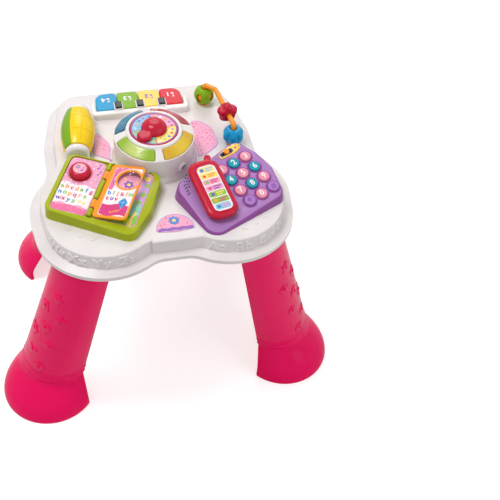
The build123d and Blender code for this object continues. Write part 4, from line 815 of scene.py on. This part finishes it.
def leg_sections(end):
    """(height, centre, half width, depth, wall) from the floor to the panel."""
    _, neck, foot = LEG_AT[end]
    out = [(0.0, foot, 64.6, 64.6, 4.6), (0.5, foot, 65.6, 65.6, 6.2)]
    for step in range(1, 19):
        share = step / 18
        spread = (1 - share ** 2) ** FLARE_BOW
        centre = tuple(n + (f - n) * spread for f, n in zip(foot, neck))
        out.append((max(1.4, FLARE_Z * share), centre, FLARE_WIDTH[0] + FLARE_WIDTH[1] * spread,
                    FLARE_DEPTH[0] + FLARE_DEPTH[1] * spread, LEG_SKIN * (2 - min(1, 3 * share))))
    for z, swell in ((57, 0.1), (58.2, 0.8), (60, 1.1), (61.8, 0.8), (63, 0.1), (66, 0), (68, 0.1),
                     (69.2, 0.7), (70.8, 0.9), (72.4, 0.7), (73.6, 0.1), (77, 0), (110, 0), (150, 0),
                     (190, 0), (230, 0), (262, 0), (280, 0), (286, 0), (287, -0.6)):
        centre, a, b = leg_shaft(end, z)
        out.append((z, centre, a + swell, b + swell, LEG_SKIN + min(0, swell)))
    return out


def add_prism(verts, faces, rows):
    """Stacked closed outlines with both ends filled."""
    start, n = len(verts), len(rows[0])
    for row in rows:
        verts += row
    for r in range(len(rows) - 1):
        for i in range(n):
            j = (i + 1) % n
            faces.append(tuple(start + k for k in (r * n + i, r * n + j, (r + 1) * n + j, (r + 1) * n + i)))
    faces.append(tuple(start + i for i in reversed(range(n))))
    faces.append(tuple(start + (len(rows) - 1) * n + i for i in range(n)))


# height up the leg, direction round it and outline of each raised play shape
LEG_RELIEFS = [(234, 78, petalled(0, 0, 10, 5)), (206, 56, rounded(box(0, 0, 18, 18, 3, 20), 2)),
               (196, 98, rounded(star(0, 0, 12, 5, 0.6), 3)), (170, 72, disc(0, 0, 11)),
               (148, 46, petalled(0, 0, 10, 6)), (138, 92, box(0, 0, 17, 17, 7, 45)),
               (110, 62, heart(0, 0, 10)), (86, 86, disc(0, 0, 10))]


def leg_wall(side, end, z, turn, lift):
    """Point on the curved outer face of a leg, raised by lift; turn in radians."""
    centre, a, b = leg_shaft(end, z)
    return leg_frame(side, end, centre, z) @ Vector(((a + lift) * cos(turn), (b + lift) * sin(turn), 0))


for end, end_name in ((-1, "front"), (1, "back")):
    for side, side_name in ((-1, "left"), (1, "right")):
        node = "leg_" + end_name + "_" + side_name
        verts, faces, rows = [], [], []
        for z, centre, a, b, wall in leg_sections(end):
            at = leg_frame(side, end, centre, z)
            rows.append(placed_at(at, [(x, y, 0) for x, y in c_section(a, b, wall)]))
        add_prism(verts, faces, rows)
        # plate that closes the top, and the plug that fills the socket
        top = leg_frame(side, end, LEG_AT[end][0], PANEL_Z)
        half = [(36.5 * cos(pi * i / 40), 26.5 * sin(pi * i / 40)) for i in range(41)]
        plate = half + [(-36.5, -15.0), (36.5, -15.0)]
        add_prism(verts, faces, [placed_at(top, [(x, y, z) for x, y in plate]) for z in (-3, 0)])
        plug = c_section(30, 22, 4)
        add_prism(verts, faces, [
            placed_at(top, [(x * (1 - draw), y * (1 - draw) - PLUG_SHIFT, z) for x, y in plug])
            for z, draw in ((-0.5, 0), (12.5, 0), (13.6, 0.012), (14, 0.03))])
        shell = piece(node + "_shell", BODY[node], verts, faces, PINK_LEG, sharp=42)
        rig.replaces(shell, node)
        # raised play shapes down the outer face, pillowed as they leave the mould
        verts, faces, studs = [], [], []
        for z, way, outline in LEG_RELIEFS:
            t = radians(way if side == end else 180 - way)
            add_prism(verts, faces, [
                [tuple(leg_wall(side, end, z + v * grow, t + u * grow / SHAFT_DEPTH[0], lift))
                 for u, v in outline] for grow, lift in PILLOW])
            tip, base = leg_wall(side, end, z, t, 1.1), leg_wall(side, end, z, t, 0)
            studs.append((tip, tip - base, 0, 1.0))
        piece(node + "_reliefs", BODY[node], verts, faces, PINK_LEG, sharp=50)
        on_points(node + "_studs", BODY[node], studs, low_dome(2.6, 0.8, ring=0.45), PINK_LEG)


# ---- central dome ------------------------------------------------------------
softened("centre_dome", 0.9, 5)
BOSS_TURN, BOSS_REACH, BOSS_Z = radians(-56), 52.8, 330
boss_out = Vector((cos(BOSS_TURN), sin(BOSS_TURN), 0))
boss = spot(boss_out * BOSS_REACH + Vector((0, 0, BOSS_Z)), (-boss_out.y, boss_out.x, 0), boss_out)
lathed("boss_pad", BODY["centre_dome"], boss,
       [(0, -0.4), (4.2, -0.4), (4.2, 0.1), (3.6, 0.6), (2.0, 0.9), (0, 1.0)], GREY_MAT, around=32)
for name in ("lens_teal", "lens_red", "lens_green", "lens_amber"):
    softened(name, 0.5, 3)
softened("spinner_cap", 0.55, 6)

# printed dial: four fields, a violet rim and small picture signs
DIAL = Matrix.Translation((0, 0, 359.5))
SPIN_BODY = BODY["dial_disc"]
HUB_R, FIELD_R, RIM_INNER_R, RIM_OUTER_R = 13.5, 27.6, 28.0, 29.4
for name, ink, start, end in (("sky", "sky", 93, 181), ("rose", "rose", 5, 91), ("sun", "sun", -91, 3),
                              ("leaf", "mint", 183, 267)):
    printed("dial_field_" + name, SPIN_BODY, on(DIAL, -0.2, 0.1, sector(HUB_R, FIELD_R, start, end)), INK[ink])
cut_sheet("dial_rim_print", SPIN_BODY, DIAL, [disc(0, 0, RIM_OUTER_R, 72), disc(0, 0, RIM_INNER_R, 72)],
          -0.2, 0.12, INK["violet"])
SIGNS = (lambda x, y, t: heart(x, y, 2.1, t),
         lambda x, y, t: star(x, y, 2.4, turn=t),
         lambda x, y, t: disc(x, y, 1.9),
         lambda x, y, t: petalled(x, y, 1.9, 5, 0.25),
         lambda x, y, t: box(x, y, 4.4, 1.5, 0.6, t + 30))
OUTER_RING, INNER_RING = 23.6, 19.2
SIGN_INKS = ("magenta", "blue", "leaf", "white", "orange", "violet")
signs = {ink: [] for ink in SIGN_INKS}
for k in range(20):
    at = 18.0 * k + 8
    x, y = OUTER_RING * cos(radians(at)), OUTER_RING * sin(radians(at))
    signs[SIGN_INKS[k * 5 % 6]].append((DIAL, SIGNS[k % 5](x, y, at - 90), 0.0, 0.22))
    x, y = INNER_RING * cos(radians(at + 9)), INNER_RING * sin(radians(at + 9))
    signs[SIGN_INKS[(k * 7 + 3) % 6]].append((DIAL, disc(x, y, 0.9, 12), 0.0, 0.22))
for ink, motifs in signs.items():
    printed("dial_signs_" + ink, SPIN_BODY, motifs, INK[ink])

# ---- roller ------------------------------------------------------------------
softened("roller_drum", 0.8, 3)
softened("roller_staves", 0.6, 3)
softened("roller_cups", 0.6, 5)
ROLLER_TURN, ROLLER_LEAN = radians(7.3), radians(5.4)
ROLLER_R, ROLLER_END_R, ROLLER_HALF = 22.0, 16.5, 32
RUN_STEPS = 14
AXLE = Vector((sin(ROLLER_TURN) * cos(ROLLER_LEAN), cos(ROLLER_TURN) * cos(ROLLER_LEAN), sin(ROLLER_LEAN)))
RADIAL = AXLE.cross(Vector((0, 0, 1))).normalized()
ROLLER = spot((-93.2, 41.3, 329.0), RADIAL, AXLE)


def drum_radius(s):
    """Barrel profile: an arc from the widest middle to the narrower ends."""
    sag = ROLLER_R - ROLLER_END_R
    big = (ROLLER_HALF ** 2 + sag ** 2) / (2 * sag)
    return ROLLER_R - big + sqrt(big ** 2 - s ** 2)


def drum_strip(start, end, low, high, steps):
    """Thin raised line on the barrel between two turns and two places along the axis."""
    turns = [radians(start + (end - start) * i / steps) for i in range(steps + 1)]
    runs = [low + (high - low) * i / RUN_STEPS for i in range(RUN_STEPS + 1)]
    verts, faces = [], []
    for lift in (-0.5, 0.16):
        for a in turns:
            verts += placed_at(ROLLER, [((drum_radius(s) + lift) * cos(a), (drum_radius(s) + lift) * sin(a), s)
                                        for s in runs])
    n, m = len(turns), len(runs)
    for layer in (0, n * m):
        for i in range(n - 1):
            for k in range(m - 1):
                near, far = layer + i * m + k, layer + (i + 1) * m + k
                faces.append((near, near + 1, far + 1, far))
    rim = [i * m for i in range(n)] + [(n - 1) * m + k for k in range(1, m)] + \
          [i * m + m - 1 for i in range(n - 2, -1, -1)] + [k for k in range(m - 2, 0, -1)]
    faces += [(a, b, b + n * m, a + n * m) for a, b in zip(rim, rim[1:] + rim[:1])]
    return verts, faces


# four seams along the drum and, between them, two pairs of lines round it
lines = ([], [])
for start, end, low, high, steps in ([(a, a + 1.6, -27, 27, 1) for a in (105, 155, 285, 335)] +
                                     [(a, a + 126, s, s + 0.5, 40) for a in (67, 247) for s in (-11, 12)]):
    verts, faces = drum_strip(start, end, low, high, steps)
    lines[1].extend(tuple(len(lines[0]) + i for i in face) for face in faces)
    lines[0].extend(verts)
piece("drum_seams", BODY["roller_drum"], lines[0], lines[1],
      moulded("abs_deep_yellow_gloss", "#E8B400", 0.24), sharp=30)

# ---- piano -------------------------------------------------------------------
PIANO_X, PIANO_Y, PIANO_PITCH, KEY_TOP_Z = -4.2, 109.0, 29.6, 323.0
eased("piano_block", 0.5)
for name in ("key_blue", "key_green", "key_yellow", "key_red", "black_keys"):
    eased(name, 0.35)
for i, (name, ink) in enumerate((("key_blue", "white"), ("key_green", "white"), ("key_yellow", "violet"),
                                 ("key_red", "white"))):
    at = Matrix.Translation((PIANO_X + (i - 1.5) * PIANO_PITCH, PIANO_Y, KEY_TOP_Z))
    lettering(name + "_number", BODY[name], [(at, str(4 - i), -3.6, 0, 7.5, 180)], -0.2, 0.15, INK[ink],
              bold=0.4)
    # note sign beside the number
    head = disc(2.6, 1.4, 2.0, 20, 0.75, 20)
    stem = box(4.1, -2.0, 0.9, 7.6, 0.3)
    flag = leaf(2.9, -4.9, 3.6, 1.5, 24)
    printed(name + "_note", BODY[name],
            [(at, head, -0.2, 0.15), (at, stem, -0.2, 0.16), (at, flag, -0.2, 0.17)], INK[ink])

# ---- bead rail and beads -----------------------------------------------------
def puffed(node, voxel, centre, axis, half, bore, share):
    """A lobed bead whose outer wall swells in the middle and draws in towards its two ends."""
    made = softened(node, voxel, 6)
    centre, axis = Vector(centre), Vector(axis).normalized()
    rim = max((v.co / MM - centre - axis * axis.dot(v.co / MM - centre)).length for v in made.data.vertices)
    for v in made.data.vertices:
        away = v.co / MM - centre
        along = axis.dot(away)
        out = away - axis * along
        if out.length > bore:
            pull = share * (along / half) ** 2 * (out.length - bore) / (rim - bore)
            v.co = (centre + axis * along + out * (1 - pull)) * MM
    return made


softened("bead_green", 0.5, 3)
puffed("bead_red", 0.5, (103.76, 36.0, 344.0), (0.119145, -0.992877, 0), 7.5, 5.0, 0.3)
puffed("bead_blue", 0.55, (107.0, 9.0, 327.4), (0, 0, 1), 11.0, 5.0, 0.3)

# ---- picture book ------------------------------------------------------------
eased("book_tray", 0.5)
eased("turning_page", 0.3)
BOOK_BODY, PAGE_BODY = BODY["book_tray"], BODY["turning_page"]
LETTER_INKS = ("orange", "leaf", "blue", "magenta", "violet", "red", "blue", "leaf", "orange", "magenta")


def rows_of_letters(name, body, frame_at, rows, low, high, size):
    """Rows of single letters in changing inks."""
    for ink in dict.fromkeys(LETTER_INKS):
        glyphs = []
        for text, x, y, pitch in rows:
            for i, letter in enumerate(text):
                if LETTER_INKS[(i + len(text)) % len(LETTER_INKS)] == ink:
                    glyphs.append((frame_at, letter, x + pitch * i, y + 0.5 * sin(1.7 * i), size,
                                   4 * cos(2.3 * i)))
        if glyphs:
            lettering(name + "_" + ink, body, glyphs, low, high, INK[ink], bold=0.3)


# left page: rose ground, white wave with the alphabet, pink foot
BUTTON_AT, HOLE_AT = (-32, 20), (32, 20)
button_gap = disc(*BUTTON_AT, 15.6, 48)
printed("left_page_wave", BOOK_BODY, on(BOOK, 0.0, 0.1, band(-49, -5.2, -31, 1.5)), INK["white"])
printed("left_page_foot", BOOK_BODY, on(BOOK, 0.0, 0.12, band(-48.5, -5.5, -42.6, -32.5, 1.2, 30)), INK["pink"])
cut_sheet("left_page_halo", BOOK_BODY, BOOK, [disc(*BUTTON_AT, 15.9, 48), disc(*BUTTON_AT, 14.2, 48)],
          0.0, 0.14, INK["pink"])
rows_of_letters("left_page_letters", BOOK_BODY, BOOK,
                (("abcdefg", -45.5, -5.2, 6.1), ("nopqrs", -45.5, -14.6, 6.3), ("wxyz", -44.5, -24.0, 6.4)),
                0.1, 0.2, 6.2)
printed("left_page_flowers", BOOK_BODY,
        on(BOOK, 0.1, 0.2, petalled(-17.5, -23.6, 1.9), petalled(-12, -25.0, 1.9)), INK["sun"])
strewn("left_page_confetti", BOOK_BODY, BOOK, [box(-27, 20.5, 42, 42, 5), button_gap], 4.6,
       slab(box(0, 0, 2.6, 0.9, 0.4), 0.0, 0.13), INK["lilac"], 3)
strewn("left_page_stars", BOOK_BODY, BOOK, [box(-27, 20.5, 42, 42, 5), button_gap], 7.5,
       slab(star(0, 0, 1.5), 0.0, 0.16), INK["white"], 8)
strewn("left_foot_dots", BOOK_BODY, BOOK, [box(-27, -38, 40, 8, 3)], 4.2, slab(disc(0, 0, 0.8, 10), 0.1, 0.2),
       INK["rose"], 5)
# notes at the upper corner
notes = []
for x, y, t in ((-13, 33, -10), (-10, 23, 12)):
    notes += [(BOOK, disc(x, y, 1.5, 16, 0.75, t), 0.0, 0.2),
              (BOOK, box(x + 1.2, y + 3.2, 0.7, 6.6, 0.3), 0.0, 0.21),
              (BOOK, leaf(x + 2.2, y + 5.9, 3.2, 1.3, -30), 0.0, 0.22)]
printed("left_page_notes", BOOK_BODY, notes, INK["violet"])

# right bed: sky, hills, a path, trees and flowers
hill_far = [(x, -6 + 9 * sin((x - 8) / 14)) for x in range(14, 57, 2)]
hill_near = [(x, -20 + 6 * sin((x + 3) / 11)) for x in range(14, 57, 2)]
for name, high, ink, outlines in (
        ("sky", 0.05, "lilac", [[(14, -42), (56.6, -38), (56.9, 34), (52, 41.5), (14, 41.5)]]),
        ("hill_far", 0.09, "mint", [[(14, -36), (56.4, -36)] + hill_far[::-1]]),
        ("hill_near", 0.12, "leaf", [[(14, -42), (52, -42), (56.4, -37)] + hill_near[::-1]]),
        ("path", 0.16, "sun", [[(46, -42), (52, -42), (51, -30), (54, -20), (50, -20), (47, -31)]]),
        ("trees", 0.2, "leaf", [disc(52.4, 9, 3.6), disc(50.6, -4, 3.0), disc(53.6, 24, 3.0)]),
        ("trunks", 0.2, "orange", [box(52.4, 3.8, 1.2, 5, 0.4), box(50.6, -8, 1.1, 4, 0.4)]),
        ("sun", 0.2, "sun", [disc(50.5, 35, 4.0)])):
    printed("right_" + name, BOOK_BODY, on(BOOK, 0.0, high, *outlines), INK[ink])
strewn("right_flowers", BOOK_BODY, BOOK, [[(18, -40), (44, -40), (44, -24), (18, -24)]], 4.5,
       slab(petalled(0, 0, 1.1, 5, 0.25, n=20), 0.1, 0.22), INK["rose"], 12)

# picture roundel seen through the hole of the page above it
printed("right_roundel", BOOK_BODY, on(BOOK, 0.0, 0.2, disc(*HOLE_AT, 15.0, 48)), INK["rose"])
printed("right_roundel_flower", BOOK_BODY, on(BOOK, 0.1, 0.3, petalled(31, 19, 5.6, 6, 0.2)), INK["violet"])
printed("right_roundel_eye", BOOK_BODY,
        [(BOOK, disc(31, 19, 2.2), 0.2, 0.4), (BOOK, star(39.5, 26, 2.0), 0.1, 0.3),
         (BOOK, heart(24, 27.5, 2.0), 0.1, 0.3)], INK["sun"])

# turning page: white ground, pink top, letters, magenta foot and a picture of a kite
PAGE_TOP = 1.15
cut_sheet("page_rose_top", PAGE_BODY, LEAF,
          [[(10.4, 2.5)] + [(x, 2.5 + 1.4 * sin(x / 3.5)) for x in range(12, 16)] + [(16, 4), (17, 9.5)] +
           [(HOLE_AT[0] + 18.2 * cos(radians(a)), HOLE_AT[1] + 18.2 * sin(radians(a)))
            for a in range(205, 89, -10)] +
           [(32, 38.6), (12.4, 38.6), (10.4, 36.4)]], PAGE_TOP - 0.1, PAGE_TOP + 0.1, INK["pink"])
printed("page_foot", PAGE_BODY,
        on(LEAF, PAGE_TOP - 0.1, PAGE_TOP + 0.1, band(10.6, 44.6, -38.4, -21, 1.6, 30)), INK["magenta"])
rows_of_letters("page_letters", PAGE_BODY, LEAF, (("hijklm", 14.2, -3.6, 5.6), ("tuv", 14.2, -12.4, 5.8)),
                PAGE_TOP - 0.05, PAGE_TOP + 0.12, 6.0)
notes = []
for x, y in ((13.2, 25), (14.2, 13)):
    notes += [(LEAF, disc(x, y, 1.3, 16, 0.75, 20), PAGE_TOP, PAGE_TOP + 0.2),
              (LEAF, box(x + 1.0, y + 2.8, 0.6, 5.8, 0.25), PAGE_TOP, PAGE_TOP + 0.21)]
printed("page_notes", PAGE_BODY, notes, INK["violet"])
printed("page_kite", PAGE_BODY,
        on(LEAF, PAGE_TOP, PAGE_TOP + 0.16, [(36, -27), (42, -17), (36, -9), (30, -17)]), INK["blue"])
across = [(36, -17.8), (42, -17.4), (42, -16.6), (36, -16.2), (30, -16.6), (30, -17.4)]
down = [(35.6, -27), (36.4, -27), (36.4, -9.4), (35.6, -9.4)]
printed("page_kite_stripe", PAGE_BODY,
        [(LEAF, across, PAGE_TOP, PAGE_TOP + 0.2), (LEAF, down, PAGE_TOP, PAGE_TOP + 0.21)], INK["sky"])
bows = [leaf(34 - 3 * k, -30 - 1.3 * k, 4.4, 2.2, 40 * (-1) ** k) for k in range(4)]
printed("page_kite_bows", PAGE_BODY, on(LEAF, PAGE_TOP, PAGE_TOP + 0.2, *bows), INK["orange"])
strewn("page_confetti", PAGE_BODY, LEAF, [box(24, 33, 26, 9, 2)], 4.0,
       slab(star(0, 0, 1.2), PAGE_TOP, PAGE_TOP + 0.18), INK["white"], 4)

# push button: crimson rim with a pale printed top
softened("book_button", 0.6, 4)
BUTTON = BOOK @ Matrix.Translation((*BUTTON_AT, 8.5))
printed("button_print", BODY["book_button"], on(BUTTON, -0.3, 0.12, disc(0, 0, 8.2, 48)), INK["rose"])
printed("button_swirl", BODY["book_button"],
        [(BUTTON, petalled(-2.6, 1.8, 2.5, 5), 0.0, 0.2),
         (BUTTON, disc(3.2, -2.6, 1.6, 16, 0.75, 20), 0.0, 0.2),
         (BUTTON, box(4.5, 0.8, 0.8, 6.4, 0.3), 0.0, 0.21)], INK["violet"])
printed("button_dots", BODY["book_button"], [(BUTTON, disc(-2.6, 1.8, 0.9, 12), 0.1, 0.3),
                                             (BUTTON, star(1.8, 5.0, 1.7), 0.0, 0.2),
                                             (BUTTON, heart(-3.2, -4.2, 1.5), 0.0, 0.2)], INK["sun"])

# ---- telephone ---------------------------------------------------------------
PHONE_BODY, HAND_BODY = BODY["phone_base"], BODY["handset"]
phone_top = eased("phone_base", 0.6)
# the upper face of the base gets a paler copy of the orchid as painted light from above; the sides keep the darker
# orchid as painted shade
FLAT_ENOUGH = 0.93
phone_top.data.materials.append(ORCHID_PAINTED_LIT_TOP)
facing_up = PHONE.to_3x3() @ Vector((0, 0, 1))
for face in phone_top.data.polygons:
    face.material_index = int(face.normal.dot(facing_up) > FLAT_ENOUGH)
softened("handset", 0.75, 6)
KEY_ACROSS, KEY_DOWN = 19.0, 18.8
SPOTS = [(c * KEY_ACROSS, -r * KEY_DOWN) for r in (-1, 0, 1, 2) for c in (-1, 0, 1)]
for (x, y), sign in zip(SPOTS, "123456789*0#"):
    key = "phone_key_" + {"*": "star", "#": "hash"}.get(sign, sign)
    at = PHONE @ Matrix.Translation((x, y - (1.6 if sign == "*" else 0), 3.0))
    ink = INK["violet"] if sign in "*#" else INK["white"]
    lettering(key + "_sign", BODY[key], [(at, sign, 0, 0, 7.5 if sign != "*" else 9.0, 0)], -0.25, 0.14,
              ink, bold=0.25)
    ring = PHONE @ Matrix.Translation((x, y, 0))
    lathed(key + "_collar", PHONE_BODY, ring,
           [(7.9, -0.6), (7.9, 0.25), (8.3, 0.6), (9.2, 0.6), (9.8, 0.2), (10.0, -0.6)],
           ORCHID_DEEP if sign in "*#" else ORCHID, around=40, sharp=60)

# speaker holes beside the handset, given as low black discs: painted shade where the holes are
HOLE_ROWS = ((-60.2, 38.0, 3), (-64.2, 35.5, 4), (-68.2, 32.0, 5), (-72.0, 27.0, 4))
hole_shade_spots = [(PHONE @ Vector((x - 1.3 * i, y - 4.4 * i, 0)), facing_up, 0, 1.0)
         for x, y, count in HOLE_ROWS for i in range(count)]
on_points("speaker_holes", PHONE_BODY, hole_shade_spots, low_dome(1.15, 0.16, 0.3, 12), INK["black"])

# display of the handset: a card with rows of coloured tabs
FACE = HAND @ Matrix.Translation((1.5, -1.5, 12.5))
cut_sheet("handset_rim", HAND_BODY, FACE, [box(0, 0, 27, 72, 8, n=8), box(0, 0, 24.4, 69.4, 7, n=8)], -0.5,
          0.7, CRIMSON, soft=0.25)
printed("handset_card", HAND_BODY, on(FACE, -0.5, 0.12, box(0, 0, 24.6, 69.6, 7, n=8)), INK["white"])
ROWS = (("sun", "blue", "sky"), ("sun", "red", "orange"), ("rose", "leaf", "magenta"),
        ("rose", "magenta", "violet"), ("leaf", "violet", "sun"), ("leaf", "orange", "leaf"),
        ("sky", "navy", "rose"))
TAB_TOP, TAB_PITCH = 28.5, 9.4
for k, (tab, icon, word) in enumerate(ROWS):
    y = TAB_TOP - TAB_PITCH * k
    width = 19.0 if k in (0, 6) else 22.0
    printed("tab_%d" % (k + 1), HAND_BODY, on(FACE, 0.0, 0.2, box(0, y, width, 8.0, 2.2)), INK[tab])
    shape = (disc(-6, y, 2.6), star(-6, y, 3.0), petalled(-6, y, 2.3), heart(-6, y, 2.6), disc(-6, y, 2.4),
             petalled(-6, y, 2.3, 6), star(-5.5, y, 2.6))[k]
    printed("tab_icon_%d" % (k + 1), HAND_BODY, on(FACE, 0.1, 0.3, shape), INK[icon])
    bars = on(FACE, 0.1, 0.3, box(3.6, y + 1.3, 10.5, 1.7, 0.8), box(2.4, y - 1.6, 8.0, 1.5, 0.7))
    printed("tab_word_%d" % (k + 1), HAND_BODY, bars, INK[word if word != tab else "magenta"])

# leaf-shaped label with its dark slot and dots
slot = box(3, 37.5, 16.6, 4.0, 1.99)
LABEL = rounded([(-9.5, 32.5), (12, 31), (24, 34.5), (25.5, 40), (19, 44), (4, 43.5), (-8.5, 40.5)], 5)
cut_sheet("slider_label", PHONE_BODY, PHONE, [LABEL, slot], -0.1, 0.85, CORN, soft=0.15)
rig.replaces(bpy.data.objects["slider_label"], "phone_label")
cut_sheet("slider_slot_rim", PHONE_BODY, PHONE, [box(3, 37.5, 19.6, 6.6, 3.2), slot], 0.5, 1.1, INK["navy"])
DOTS = ((-6.5, 34.6), (20.5, 41.6), (14.0, 42.6), (-6.8, 39.0), (22.4, 37.4))
printed("label_dots", PHONE_BODY, on(PHONE, 0.7, 0.97, *[disc(x, y, 0.8, 12) for x, y in DOTS]), INK["navy"])
printed("label_signs", PHONE_BODY, on(PHONE, 0.7, 0.97, heart(17.6, 37.8, 1.9), star(7.4, 33.4, 1.5)),
        INK["magenta"])

# ---- printed inlays on the deck ----------------------------------------------
def off_dome(points, r=57.0):
    """Outline with its points inside the dome's foot moved out onto a circle."""
    out = []
    for i, p in enumerate(points):
        q = points[(i + 1) % len(points)]
        steps = max(1, ceil(hypot(q[0] - p[0], q[1] - p[1]) / 1.2))
        for k in range(steps):
            x, y = p[0] + (q[0] - p[0]) * k / steps, p[1] + (q[1] - p[1]) * k / steps
            push = max(1.0, r / hypot(x, y))
            out.append((x * push, y * push))
    return out


def inset(points, d):
    """Outline drawn in by a distance."""
    out = []
    for i, (x, y) in enumerate(points):
        a, b = points[i - 2], points[(i + 2) % len(points)]
        dx, dy = b[0] - a[0], b[1] - a[1]
        size = hypot(dx, dy) or 1
        out.append((x - dy / size * d, y + dx / size * d))
    return out


LEFT_INLAY = off_dome(rounded([(-69, 56), (-79, 14), (-64, 4), (-50, -6), (-55, 32)], 7))
RIGHT_INLAY = off_dome(rounded([(59, 58), (50, 20), (56, -14), (72, -6), (86, 6), (88, 18), (84, 44),
                                (70, 58)], 8))
fan_arc = [(4.5 + 24 * cos(radians(a)), -134 + 26 * sin(radians(a))) for a in range(12, 170, 12)]
fan_foot = [(-19.5, -134), (-8, -136.5), (4.5, -137.4), (17, -136.5)]
FAN = rounded([(28.5, -134)] + fan_arc + fan_foot, 3)
DECK_BODY = BODY["deck_inlays"]
INLAYS = (("left", LEFT_INLAY, 21), ("right", RIGHT_INLAY, 22), ("fan", FAN, 23))
sheets = [printed("inlay_" + name, DECK_BODY, on(DECK, -0.1, 0.6, line), INK["rose"])
          for name, line, _ in INLAYS]
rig.replaces(sheets[0], "deck_inlays")
for name, line, seed in INLAYS:
    cut_sheet("inlay_border_" + name, DECK_BODY, DECK, [line, inset(line, 1.1)], 0.5, 0.72, INK["lilac"])
    strewn("inlay_sprinkles_" + name, DECK_BODY, DECK, [inset(line, 2.6)], 4.4 if name != "fan" else 3.4,
           slab(leaf(0, 0, 3.6, 1.2), 0.55, 0.74), INK["magenta"], seed)
printed("fan_foot_band", DECK_BODY, on(DECK, 0.55, 0.76, band(-17, 26, -135.0, -130.4, 0.5, 12)), INK["violet"])
printed("fan_flower", DECK_BODY, on(DECK, 0.55, 0.8, petalled(4.5, -119, 6.4, 8, 0.12)), INK["blue"])
printed("fan_flower_eye", DECK_BODY, on(DECK, 0.6, 0.9, disc(4.5, -119, 2.3)), INK["sun"])


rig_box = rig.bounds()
with open("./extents.json", "w") as out:
    json.dump({"cad": [list(c) for c in CAD_BOX], "visual": [list(c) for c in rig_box]}, out)
